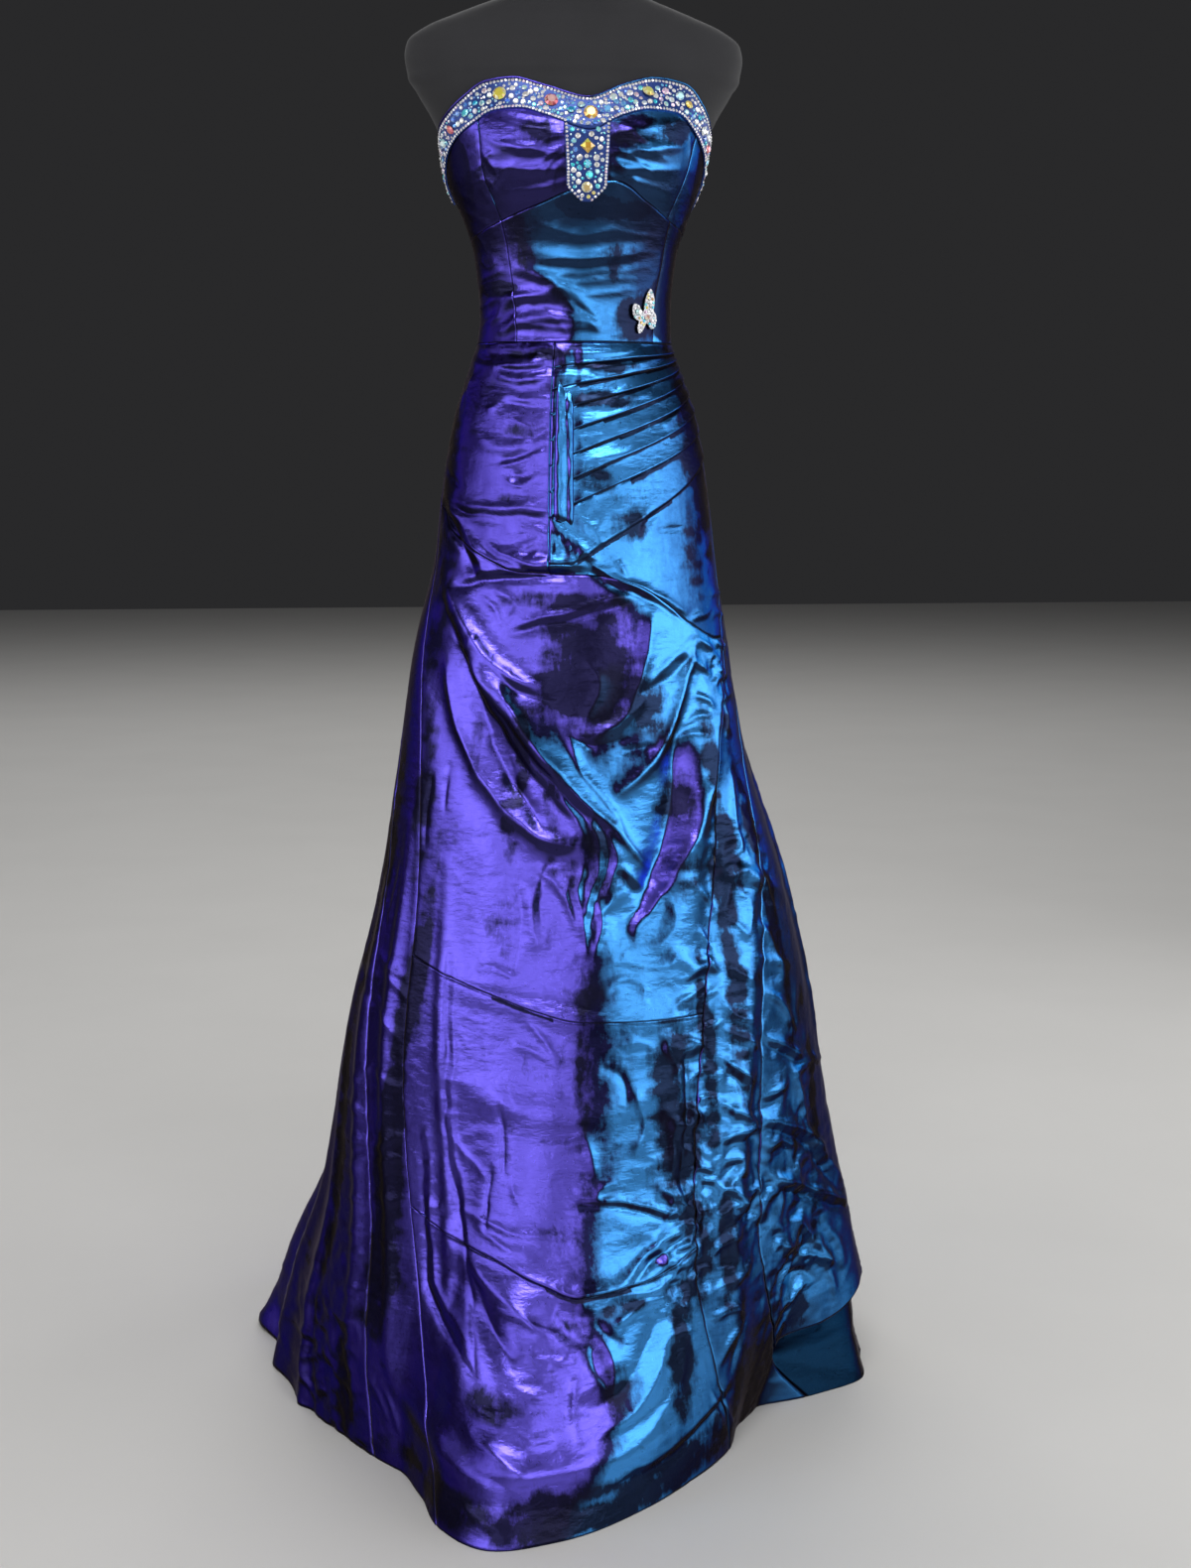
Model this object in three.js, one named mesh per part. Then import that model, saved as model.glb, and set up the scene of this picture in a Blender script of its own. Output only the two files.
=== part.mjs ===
// Strapless evening gown in shot taffeta, standing on a limbless dress form.
// Millimetres, +Z up, the front of the gown towards -Y, the wearer's left towards +X.
// The origin is on the floor under the pole of the stand.
//
// A place on the cloth is given by its turn, in degrees round the body from the front
// towards the wearer's left, and by its height above the floor.
import * as THREE from "three";

// Cloth and seams
const wall = 1.6;
const seamGap = 0.3;
const formClearance = 0.8;
const trimClearance = 0.5;

// Heights
const waistHeight = 1212;
const rightHipEdge = 1035;
const leftHipEdge = 890;
const hemFlareTop = 520;
const fluteTop = 900;
const hemFlarePower = 1.5;
const flutePower = 1.3;

// Bodice
const pipingShow = 3;
const bandThickness = 2;
const sideTurn = 96;
const backTurn = 138;
const bustTurn = 29;
const bustHeight = 1412;
const bustRise = 10;
const bustTurnSpread = 23;
const bustHeightSpread = 44;

// Stand
const torsoBottom = 930;
const poleRadius = 15;
const baseRadius = 150;
const baseThickness = 12;
const neckBottom = 1581;

// Colours of the shot cloth and the hard pieces
const violet = 0x5a46b4;
const blue = 0x3f7fc4;
const indigo = 0x2a2460;
const crystal = 0xb8d4ea;
const jersey = 0x26262a;
const steel = 0x8a8c90;
const clothFinish = [0.36, 0.6];
const crystalFinish = [0.2, 0.3];
const broochFinish = [0.15, 0.4];
const jerseyFinish = [0.9, 0];
const poleFinish = [0.3, 0.9];
const baseFinish = [0.4, 0.8];

// A table with named columns becomes one object a row.
function table(names, rows) {
  return rows.map((row) => Object.fromEntries(names.map((name, i) => [name, row[i]])));
}

// Outer face of the gown: half widths to the wearer's right and left, depths to the front and back
const outline = table(
  ["height", "right", "left", "front", "back"],
  [
    [0, 345, 365, 350, 600],
    [122, 325, 347, 310, 520],
    [242, 291, 320, 257, 407],
    [443, 260, 276, 205, 280],
    [617, 220, 236, 168, 206],
    [755, 199, 194, 146, 166],
    [879, 181, 172, 130, 146],
    [979, 157, 157, 119, 136],
    [1046, 149, 149, 111, 131],
    [1133, 134, 134, 98, 113],
    [1177, 120, 119, 88, 97],
    [1215, 108, 107, 78, 84],
    [1242, 105, 106, 77, 80],
    [1307, 111, 112, 83, 82],
    [1339, 120, 122, 89, 86],
    [1387, 140, 139, 98, 94],
    [1425, 147, 147, 99, 99],
    [1455, 160, 160, 90, 103],
    [1480, 175, 175, 80, 104],
    [1500, 184, 184, 74, 104],
  ],
);

// The hem on the floor: its distance from the pole in each direction
const hem = table(
  ["direction", "reach"],
  [
    [-180, 610],
    [-160, 590],
    [-145, 545],
    [-130, 470],
    [-115, 385],
    [-100, 342],
    [-83, 307],
    [-65, 291],
    [-47, 296],
    [-35, 337],
    [-27, 393],
    [-18, 428],
    [-9, 401],
    [7, 329],
    [21, 280],
    [38, 243],
    [55, 212],
    [68, 215],
    [80, 280],
    [90, 350],
    [100, 367],
    [120, 430],
    [145, 545],
    [160, 590],
    [180, 610],
  ],
);

// The top edge of the bodice and the depth of the beaded band under it
const neckline = table(
  ["turn", "height", "band"],
  [
    [-180, 1362, 38],
    [-130, 1366, 38],
    [-112, 1378, 42],
    [-100, 1400, 44],
    [-90, 1424, 40],
    [-78, 1440, 30],
    [-63, 1454, 24],
    [-47, 1471, 27],
    [-34, 1486, 31],
    [-24, 1489, 33],
    [-14, 1481, 34],
    [2, 1468, 34],
    [16, 1484, 34],
    [26, 1491, 34],
    [38, 1487, 31],
    [52, 1467, 27],
    [68, 1445, 24],
    [80, 1432, 30],
    [90, 1418, 38],
    [100, 1396, 44],
    [112, 1376, 42],
    [130, 1366, 38],
    [180, 1362, 38],
  ],
);

// The seam under the bust, an inverted V with its point beside the centre drop
const underBust = table(
  ["turn", "height"],
  [
    [-96, 1322],
    [-71, 1328],
    [-46, 1340],
    [-23, 1355],
    [0, 1374],
    [13, 1380],
    [31, 1361],
    [54, 1341],
    [72, 1333],
    [96, 1322],
  ],
);

// The lower edge of the draped hip pieces
const hipEdge = table(
  ["turn", "height"],
  [
    [-96, rightHipEdge],
    [-82, rightHipEdge],
    [-68, 1012],
    [-48, 988],
    [-24, 966],
    [0, 964],
    [19, 952],
    [32, 932],
    [46, 906],
    [62, leftHipEdge],
    [96, leftHipEdge],
  ],
);

// Seams of the bodice: the turn of each at a height
const bodiceSeams = {
  princessRight: table(
    ["height", "turn"],
    [
      [waistHeight, -40],
      [1302, -45],
      [1345, -46],
    ],
  ),
  princessLeft: table(
    ["height", "turn"],
    [
      [waistHeight, 48],
      [1260, 51],
      [1302, 55],
      [1345, 53],
    ],
  ),
  cupRight: table(
    ["height", "turn"],
    [
      [1335, -45],
      [1400, -47],
      [1480, -42],
    ],
  ),
  cupLeft: table(
    ["height", "turn"],
    [
      [1335, 49],
      [1430, 57],
      [1480, 60],
    ],
  ),
};

// Seams of the skirt: the turn of each at a level, where level 0 is the floor, 1 is the lower edge
// of the draped hip at that side and 2 is the waist. Each runs straight between its rows.
const skirtSeams = {
  hipMiddle: {
    edge: leftHipEdge,
    rows: table(
      ["level", "turn"],
      [
        [0, -13],
        [2, -16],
      ],
    ),
  },
  frontRight: {
    edge: rightHipEdge,
    rows: table(
      ["level", "turn"],
      [
        [0, -28],
        [0.125, -38],
        [0.25, -46],
        [0.375, -50.5],
        [0.5, -53.5],
        [0.625, -58],
        [0.75, -65],
        [0.875, -76],
        [1, -86],
        [2, -94],
      ],
    ),
  },
  sideRight: {
    edge: rightHipEdge,
    rows: table(
      ["level", "turn"],
      [
        [0, -56],
        [0.25, -62],
        [0.5, -72],
        [0.75, -88],
        [1, -106],
        [2, -114],
      ],
    ),
  },
  backRight: {
    edge: rightHipEdge,
    rows: table(
      ["level", "turn"],
      [
        [0, -104],
        [0.5, -116],
        [1, -138],
        [2, -144],
      ],
    ),
  },
  frontLeft: {
    edge: leftHipEdge,
    rows: table(
      ["level", "turn"],
      [
        [0, 37],
        [0.125, 26.5],
        [0.25, 21.5],
        [0.375, 22.5],
        [0.5, 26],
        [0.625, 31.5],
        [0.75, 40.5],
        [0.875, 52.5],
        [1, 68],
        [2, 94],
      ],
    ),
  },
  sideLeft: {
    edge: leftHipEdge,
    rows: table(
      ["level", "turn"],
      [
        [0, 78],
        [0.25, 45],
        [0.375, 43.5],
        [0.5, 45],
        [0.625, 51],
        [0.75, 62],
        [0.875, 75],
        [1, 88],
        [2, 114],
      ],
    ),
  },
  backLeft: {
    edge: leftHipEdge,
    rows: table(
      ["level", "turn"],
      [
        [0, 136],
        [0.5, 131],
        [1, 133],
        [2, 144],
      ],
    ),
  },
};

// The raised hem of the side panel on the wearer's left, over the layer below it
const liftedHem = table(
  ["turn", "height"],
  [
    [40, 0],
    [60, 60],
    [66, 84],
    [79, 92],
    [92, 122],
    [103, 108],
    [118, 50],
    [128, 0],
    [140, 0],
  ],
);

// Folds of the cloth: where each starts, passes and ends, how far it rises and half its width.
// A fold has a third of its rise at its two ends and is felt out to three times its half width.
const foldEndShare = 0.3;
const foldReach = 3;
const foldPieces = 8;
const foldNames = [
  "turn0", "height0", "turn1", "height1", "turn2", "height2", "rise", "spread",
];
const folds = table(foldNames, [
  // swags of the draped front
  [-64, 945, -31, 835, -2, 672, 9, 19],
  [-72, 900, -42, 770, -10, 622, -5, 24],
  [-26, 850, -5, 742, 12, 655, 6, 15],
  [40, 850, 24, 705, 10, 580, -7, 21],
  [52, 830, 33, 690, 20, 540, 7, 17],
  [-53, 548, -5, 492, 31, 492, 6, 11],
  [-40, 440, -10, 395, 20, 420, 3, 16],
  [-42, 275, -6, 213, 29, 266, 7, 14],
  [-47, 92, -13, 58, 22, 80, 9, 18],
  [-45, 652, -38, 410, -33, 208, 4, 9],
  [-28, 225, -22, 190, -14, 150, -4, 13],
  [-8, 190, -3, 175, 3, 160, -4, 10],
  // the gathered line beside the front
  [46, 730, 28, 500, 23, 230, -6, 13],
  [62, 700, 40, 470, 34, 150, 7, 16],
  [21, 560, 27, 540, 33, 545, 4, 8],
  [17, 470, 22, 455, 28, 470, 5, 8],
  [15, 395, 20, 375, 25, 390, 5, 8],
  [13, 320, 18, 300, 23, 315, 5, 8],
  [12, 250, 17, 228, 22, 240, 5, 8],
  // side panels
  [-66, 690, -58, 400, -50, 110, 5, 11],
  [-78, 620, -70, 330, -64, 60, 6, 15],
  [39, 638, 58, 618, 76, 598, 3, 8],
  [45, 288, 60, 292, 78, 312, 4, 10],
  [50, 190, 62, 215, 80, 240, 4, 12],
  // hips and waist
  [-90, 1042, -50, 1026, -17, 1031, 2.5, 8],
  [-76, 1010, -26, 975, 2, 990, 4, 9],
  [-92, 1199, -40, 1190, 34, 1203, 3, 6],
  [-62, 1184, -10, 1176, 46, 1203, 2.5, 6],
  [-60, 1122, -42, 1100, -24, 1110, 2, 9],
  // midriff and the fold that wraps to the brooch
  [-66, 1226, -36, 1262, -6, 1252, 2.5, 8],
  [-58, 1222, -30, 1238, 6, 1232, 3, 7],
  [-40, 1290, -14, 1272, 14, 1228, 2.5, 7],
  [-34, 1310, 4, 1300, 44, 1318, 1.5, 8],
  // gathers of the cups towards the centre drop
  [-8, 1424, -22, 1432, -38, 1444, 2, 5],
  [-8, 1408, -24, 1412, -42, 1422, 2, 5],
  [-8, 1392, -24, 1390, -42, 1396, 2, 5],
  [-8, 1378, -22, 1370, -40, 1368, 1.6, 5],
  [10, 1424, 24, 1434, 40, 1444, 2, 5],
  [10, 1410, 26, 1412, 46, 1420, 2, 5],
  [10, 1396, 26, 1392, 46, 1394, 2, 5],
  [12, 1386, 26, 1378, 44, 1370, 1.6, 5],
]);

// Flutes that open towards the hem at the sides and back
const flutes = table(
  ["turn", "rise", "spread"],
  [
    [-166, 20, 42],
    [-142, 18, 34],
    [-124, 15, 24],
    [-112, 13, 18],
    [-101, 12, 16],
    [-89, 9, 16],
    [112, 14, 24],
    [134, 17, 32],
    [158, 20, 42],
  ],
);

// Pleats of the hip on the wearer's left: the height of each fold edge at its two ends
const pleats = table(
  ["middle", "side"],
  [
    [1184, 1203],
    [1160, 1196],
    [1134, 1188],
    [1106, 1176],
    [1078, 1160],
    [1050, 1142],
    [1022, 1120],
    [992, 1094],
  ],
);
const pleatRise = 2.6;
const pleatStep = 3;
// Each pleat grows over a few degrees beside the tuck and dies away before the side seam. Its edge
// climbs between the turns of its two ends, a little faster at first.
const pleatLead = 5;
const pleatEndShare = 0.96;
const pleatClimb = { from: -16, span: 96, power: 0.8 };

// The upright tuck beside the middle of the hips
const tuckTurns = [-13.5, -5];
const tuckHeights = [1172, 1022];
const tuckThickness = 1.8;

// Large stones of the beaded band: the turn of each and its distance below the top edge
const stones = table(
  ["turn", "drop"],
  [
    [-88, 22],
    [-76, 17],
    [-64, 16],
    [-50, 16],
    [-31, 18],
    [-21, 20],
    [-12, 18],
    [-1, 12],
    [8, 18],
    [17, 16],
    [24, 26],
    [31, 15],
    [44, 17],
    [60, 17],
    [74, 16],
    [88, 22],
  ],
);
const stoneRadius = 7;
const stoneRise = 2.2;

// The centre drop: how wide it is at each distance below the band
const dropShape = table(
  ["down", "halfWidth"],
  [
    [0, 20],
    [14, 19.5],
    [28, 19],
    [42, 18.5],
    [54, 18.5],
    [64, 12],
    [72, 4],
  ],
);
const dropTurn = 1;
const dropGap = 0.7;
const dropStones = [16, 34, 52];
const dropStoneReach = 5;
const dropStoneShare = 0.2;

// The dress form above the gown
const formTop = table(
  ["height", "half", "front", "back"],
  [
    [1500, 182, 70, 98],
    [1519, 185, 64, 92],
    [1534, 182, 58, 84],
    [1550, 162, 54, 76],
    [1562, 134, 52, 70],
    [1572, 108, 52, 66],
    [neckBottom, 84, 54, 62],
    [1594, 66, 55, 58],
    [1612, 58, 54, 56],
    [1632, 56, 53, 54],
  ],
);

// Interpolation
const radians = THREE.MathUtils.degToRad;
const degrees = THREE.MathUtils.radToDeg;

// A smooth curve through a column of a table that never overshoots its rows
function along(rows, key, at, column) {
  const last = rows.length - 1;
  const value = THREE.MathUtils.clamp(at, rows[0][key], rows[last][key]);
  let i = 0;
  while (i < last - 1 && value > rows[i + 1][key]) i += 1;
  const step = (n) => rows[n + 1][key] - rows[n][key];
  const slope = (n) => (rows[n + 1][column] - rows[n][column]) / step(n);
  const tangent = (n) => {
    if (n === 0) return slope(0);
    if (n === last) return slope(last - 1);
    const before = slope(n - 1);
    const after = slope(n);
    if (before * after <= 0) return 0;
    const heavy = 2 * step(n) + step(n - 1);
    const light = step(n) + 2 * step(n - 1);
    return (heavy + light) / (heavy / before + light / after);
  };
  const width = step(i);
  const t = (value - rows[i][key]) / width;
  const start = rows[i][column] * (1 + 2 * t) * (1 - t) ** 2;
  const end = rows[i + 1][column] * t * t * (3 - 2 * t);
  const lead = tangent(i) * width * t * (1 - t) ** 2;
  const trail = tangent(i + 1) * width * t * t * (t - 1);
  return start + end + lead + trail;
}

const neckHeight = (turn) => along(neckline, "turn", turn, "height");
const bandBottom = (turn) => neckHeight(turn) - pipingShow - along(neckline, "turn", turn, "band");
const bustSeam = (turn) => along(underBust, "turn", turn, "height");
const hipBottom = (turn) => along(hipEdge, "turn", turn, "height");
const lerp = THREE.MathUtils.lerp;

function seamTurn(name, height) {
  if (name in bodiceSeams) return along(bodiceSeams[name], "height", height, "turn");
  const { edge, rows } = skirtSeams[name];
  const level = height < edge ? height / edge : 1 + (height - edge) / (waistHeight - edge);
  let i = 0;
  while (i < rows.length - 2 && level > rows[i + 1].level) i += 1;
  const share = (level - rows[i].level) / (rows[i + 1].level - rows[i].level);
  return lerp(rows[i].turn, rows[i + 1].turn, share);
}

// The smooth outer face of the gown, without its folds
function bareSurface(turn, height) {
  const sine = Math.sin(radians(turn));
  const cosine = Math.cos(radians(turn));
  const side = sine < 0 ? "right" : "left";
  const face = cosine > 0 ? "front" : "back";
  const x = along(outline, "height", height, side) * sine;
  const y = -along(outline, "height", height, face) * cosine;
  const flare = Math.max(0, 1 - height / hemFlareTop) ** hemFlarePower;
  const angle = Math.atan2(x, -y);
  const wide = outline[0][side];
  const deep = outline[0][face];
  const round = 1 / Math.hypot(Math.sin(angle) / wide, Math.cos(angle) / deep);
  const pull = along(hem, "direction", degrees(angle), "reach") / round;
  const scale = 1 + flare * (pull - 1);
  return new THREE.Vector3(x * scale, y * scale, height);
}

// Degrees of turn that one millimetre along the cloth takes at a height
function degreesPerMillimetre(height) {
  const wide = along(outline, "height", height, "right");
  const deep = along(outline, "height", height, "front");
  return degrees(2 / (wide + deep));
}

// How far a place is from a fold, in millimetres, and how far along it
function nearestOnFold(fold, turn, height) {
  const scale = 1 / degreesPerMillimetre(height);
  const passTurn = 2 * fold.turn1 - (fold.turn0 + fold.turn2) / 2;
  const passHeight = 2 * fold.height1 - (fold.height0 + fold.height2) / 2;
  const bend = (a, b, c, t) => a * (1 - t) ** 2 + 2 * b * t * (1 - t) + c * t * t;
  let best = { distance: Infinity, share: 0 };
  let ax = (bend(fold.turn0, passTurn, fold.turn2, 0) - turn) * scale;
  let ay = fold.height0 - height;
  for (let i = 1; i <= foldPieces; i += 1) {
    const bx = (bend(fold.turn0, passTurn, fold.turn2, i / foldPieces) - turn) * scale;
    const by = bend(fold.height0, passHeight, fold.height2, i / foldPieces) - height;
    const length = (bx - ax) ** 2 + (by - ay) ** 2;
    const t = THREE.MathUtils.clamp(-(ax * (bx - ax) + ay * (by - ay)) / length, 0, 1);
    const distance = Math.hypot(ax + t * (bx - ax), ay + t * (by - ay));
    if (distance < best.distance) best = { distance, share: (i - 1 + t) / foldPieces };
    ax = bx;
    ay = by;
  }
  return best;
}

// How far the cloth stands out from its smooth face
function relief(turn, height) {
  let out = 0;
  for (const fold of folds) {
    const near = nearestOnFold(fold, turn, height);
    if (near.distance > foldReach * fold.spread) continue;
    const taper = lerp(foldEndShare, 1, Math.sin(Math.PI * near.share));
    out += fold.rise * taper * Math.exp(-((near.distance / fold.spread) ** 2));
  }
  const opening = Math.max(0, 1 - height / fluteTop) ** flutePower;
  for (const flute of flutes) {
    const distance = (turn - flute.turn) / degreesPerMillimetre(height);
    out += flute.rise * opening * Math.exp(-((distance / flute.spread) ** 2));
  }
  const overBust = Math.exp(-(((height - bustHeight) / bustHeightSpread) ** 2));
  for (const turnOfCup of [-bustTurn, bustTurn]) {
    out += bustRise * overBust * Math.exp(-(((turn - turnOfCup) / bustTurnSpread) ** 2));
  }
  return out;
}

function bareNormal(turn, height) {
  const reach = 0.5;
  const low = Math.max(0, height - reach);
  const across = bareSurface(turn + reach, height).sub(bareSurface(turn - reach, height));
  const up = bareSurface(turn, height + reach).sub(bareSurface(turn, low));
  return across.cross(up).normalize();
}

function foldedSurface(turn, height) {
  const out = relief(turn, height);
  return bareSurface(turn, height).addScaledVector(bareNormal(turn, height), out);
}

// The outer face of the folded cloth and the direction it faces
function clothAt(turn, height) {
  const reach = 0.4;
  const low = Math.max(0, height - reach);
  const across = foldedSurface(turn + reach, height).sub(foldedSurface(turn - reach, height));
  const up = foldedSurface(turn, height + reach).sub(foldedSurface(turn, low));
  return { point: foldedSurface(turn, height), normal: across.cross(up).normalize() };
}

// Solids
const gown = new THREE.Group();

function addMesh(name, geometry, color, [roughness, metalness]) {
  const material = new THREE.MeshStandardMaterial({ color, roughness, metalness });
  const mesh = new THREE.Mesh(geometry, material);
  mesh.name = name;
  gown.add(mesh);
  return mesh;
}

function indexedGeometry(points, faces) {
  const geometry = new THREE.BufferGeometry();
  const position = new Float32Array(points.flatMap((p) => [p.x, p.y, p.z]));
  geometry.setAttribute("position", new THREE.BufferAttribute(position, 3));
  geometry.setIndex(faces);
  geometry.computeVertexNormals();
  return geometry;
}

// Moves the points of one edge onto straight lines between the rows named, so that a panel with
// fewer rows fits against it.
function straighten(points, columns, edge, rowsKept) {
  const at = (row) => points[row * (columns + 1) + edge];
  for (let k = 1; k < rowsKept.length; k += 1) {
    const from = at(rowsKept[k - 1]);
    const to = at(rowsKept[k]);
    for (let row = rowsKept[k - 1] + 1; row < rowsKept[k]; row += 1) {
      const share = (at(row).z - from.z) / (to.z - from.z);
      at(row).lerpVectors(from, to, share);
    }
  }
}

// A wall of cloth over a grid. The place of each grid point is its turn and height, with how far
// the outer and inner faces stand out from the cloth there. The rows kept of an edge are those
// that the next panel has too.
function wallGeometry(columns, rows, place, kept = {}) {
  const outer = [];
  const inner = [];
  for (let j = 0; j <= rows; j += 1) {
    for (let i = 0; i <= columns; i += 1) {
      const spot = { out: 0, back: -wall, ...place(i / columns, j / rows) };
      const { point, normal } = clothAt(spot.turn, spot.height);
      const front = point.clone().addScaledVector(normal, spot.out);
      const rear = point.clone().addScaledVector(normal, spot.back);
      if (spot.height === 0) front.z = 0;
      rear.z = spot.height === 0 ? 0 : Math.max(0, rear.z);
      outer.push(front);
      inner.push(rear);
    }
  }
  for (const points of [outer, inner]) {
    if (kept.start) straighten(points, columns, 0, kept.start);
    if (kept.end) straighten(points, columns, columns, kept.end);
  }
  const count = outer.length;
  const faces = [];
  const at = (i, j) => j * (columns + 1) + i;
  const quad = (a, b, c, d) => faces.push(a, b, c, a, c, d);
  for (let j = 0; j < rows; j += 1) {
    for (let i = 0; i < columns; i += 1) {
      const [a, b, c, d] = [at(i, j), at(i + 1, j), at(i + 1, j + 1), at(i, j + 1)];
      quad(a, d, c, b);
      quad(count + a, count + b, count + c, count + d);
    }
  }
  for (let i = 0; i < columns; i += 1) {
    quad(at(i, 0), at(i + 1, 0), count + at(i + 1, 0), count + at(i, 0));
    quad(at(i + 1, rows), at(i, rows), count + at(i, rows), count + at(i + 1, rows));
  }
  for (let j = 0; j < rows; j += 1) {
    quad(at(0, j + 1), at(0, j), count + at(0, j), count + at(0, j + 1));
    quad(at(columns, j), at(columns, j + 1), count + at(columns, j + 1), count + at(columns, j));
  }
  return indexedGeometry([...outer, ...inner], faces);
}

// Half a seam gap as a turn, wider where the seam runs aslant
function halfGap(seam, height) {
  const scale = degreesPerMillimetre(height);
  const slant = (seamTurn(seam, height + 1) - seamTurn(seam, height - 1)) / 2 / scale;
  return (seamGap / 2) * scale * Math.hypot(1, slant);
}

// The turn at a share of the way between two seams. A seam given as a number is a fixed turn.
function between(first, second, share, height) {
  const gap = (seamGap / 2) * degreesPerMillimetre(height);
  const from = typeof first === "number" ? first + gap : seamTurn(first, height) + halfGap(first, height);
  const to = typeof second === "number" ? second - gap : seamTurn(second, height) - halfGap(second, height);
  return lerp(from, to, share);
}

// Where rows of a panel fall: the height depends on the turn, so it is found in a few passes.
const placePasses = 4;
function panelPlace(first, second, u, heightAt) {
  let height = heightAt(between(first, second, u, waistHeight));
  for (let pass = 0; pass < placePasses; pass += 1) {
    height = heightAt(between(first, second, u, height));
  }
  return { turn: between(first, second, u, height), height };
}

const halfSeam = seamGap / 2;

function addPanel(name, color, columns, rows, place, kept) {
  return addMesh(name, wallGeometry(columns, rows, place, kept), color, clothFinish);
}

// Row numbers from first to last, by a step
function rowList(first, last, step = 1) {
  return Array.from({ length: (last - first) / step + 1 }, (_, i) => first + i * step);
}

// Bodice
function bodicePanel(name, color, columns, rows, first, second, bottom, top) {
  addPanel(name, color, columns, rows, (u, v) =>
    panelPlace(first, second, u, (turn) => lerp(top(turn), bottom(turn), v)),
  );
}

const aboveWaist = () => waistHeight + halfSeam;
const underSeam = (turn) => bustSeam(turn) - halfSeam;
const overSeam = (turn) => bustSeam(turn) + halfSeam;

bodicePanel("cup_right", violet, 12, 10, "cupRight", 1, overSeam, neckHeight);
bodicePanel("cup_left", blue, 12, 10, 1, "cupLeft", overSeam, neckHeight);
bodicePanel("cup_side_right", indigo, 6, 8, -sideTurn, "cupRight", overSeam, neckHeight);
bodicePanel("cup_side_left", indigo, 5, 8, "cupLeft", sideTurn, overSeam, neckHeight);
bodicePanel("midriff_front", blue, 12, 8, "princessRight", "princessLeft", aboveWaist, underSeam);
bodicePanel("side_front_right", violet, 5, 6, -sideTurn, "princessRight", aboveWaist, underSeam);
bodicePanel("side_front_left", indigo, 5, 6, "princessLeft", sideTurn, aboveWaist, underSeam);
bodicePanel("side_back_right", indigo, 5, 10, -backTurn, -sideTurn, aboveWaist, neckHeight);
bodicePanel("side_back_left", indigo, 5, 10, sideTurn, backTurn, aboveWaist, neckHeight);
bodicePanel("back_right", violet, 5, 8, -180, -backTurn, aboveWaist, neckHeight);
bodicePanel("back_left", blue, 5, 8, backTurn, 180, aboveWaist, neckHeight);

// Beaded neckline band, raised where its large stones sit
function stoneHeight(turn, height) {
  const scale = 1 / degreesPerMillimetre(height);
  let out = 0;
  for (const stone of stones) {
    const across = (turn - stone.turn) * scale;
    const down = neckHeight(stone.turn) - stone.drop - height;
    const distance = Math.hypot(across, down);
    out = Math.max(out, stoneRise * (1 - (distance / stoneRadius) ** 2));
  }
  return out;
}

addMesh(
  "neckline_band",
  wallGeometry(66, 4, (u, v) => {
    const turn = lerp(-sideTurn, sideTurn, u);
    const height = lerp(neckHeight(turn) - pipingShow, bandBottom(turn), v);
    const out = trimClearance + bandThickness + stoneHeight(turn, height);
    return { turn, height, out, back: trimClearance };
  }),
  crystal,
  crystalFinish,
);

addMesh(
  "centre_drop",
  wallGeometry(6, 10, (u, v) => {
    const down = lerp(0, dropShape.at(-1).down, v);
    const middle = bandBottom(dropTurn) - dropGap - down;
    const half = along(dropShape, "down", down, "halfWidth") * degreesPerMillimetre(middle);
    const turn = dropTurn + lerp(-half, half, u);
    const followBand = Math.max(0, 1 - 2 * v);
    const height = middle + (bandBottom(turn) - bandBottom(dropTurn)) * followBand;
    const beside = Math.abs(u - 0.5) < dropStoneShare;
    const stone = beside && dropStones.some((place) => Math.abs(place - down) < dropStoneReach);
    const out = trimClearance + bandThickness + (stone ? stoneRise : 0);
    return { turn, height, out, back: trimClearance };
  }),
  crystal,
  crystalFinish,
);

// Butterfly brooch at the waist
const broochTurn = 41;
const broochHeight = 1242;
const broochThickness = 2.4;
const broochBevel = 0.8;
const broochStandOff = 2.1;

function broochOutline() {
  const shape = new THREE.Shape();
  shape.moveTo(0, -6);
  shape.quadraticCurveTo(-4, -16, -10, -20);
  shape.quadraticCurveTo(-8, -10, -9, -5);
  shape.quadraticCurveTo(-20, -2, -19, 10);
  shape.quadraticCurveTo(-8, 12, -3, 3);
  shape.quadraticCurveTo(-4, 20, 6, 28);
  shape.quadraticCurveTo(14, 18, 10, 4);
  shape.quadraticCurveTo(16, -4, 11, -13);
  shape.quadraticCurveTo(4, -12, 0, -6);
  return shape;
}

const broochSeat = clothAt(broochTurn, broochHeight);
const broochGeometry = new THREE.ExtrudeGeometry(broochOutline(), {
  depth: broochThickness,
  bevelThickness: broochBevel,
  bevelSize: broochBevel,
  bevelSegments: 1,
  curveSegments: 5,
});
const brooch = addMesh("butterfly_brooch", broochGeometry, crystal, broochFinish);
const broochLift = trimClearance + broochStandOff;
brooch.position.copy(broochSeat.point).addScaledVector(broochSeat.normal, broochLift);
brooch.up.set(0, 0, 1);
brooch.lookAt(brooch.position.clone().add(broochSeat.normal));

// Draped hips
const belowWaist = waistHeight - halfSeam;
const hipFloor = (turn) => hipBottom(turn) + seamGap;

const upperRows = 4;
const rightHipRows = 3 * upperRows;
const rightHipColumns = 10;
const leftHipColumns = 12;

addPanel(
  "hip_right",
  violet,
  rightHipColumns,
  rightHipRows,
  (u, v) => panelPlace("frontRight", "hipMiddle", u, (turn) => lerp(belowWaist, hipFloor(turn), v)),
  { start: rowList(0, rightHipRows, 3) },
);

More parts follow.
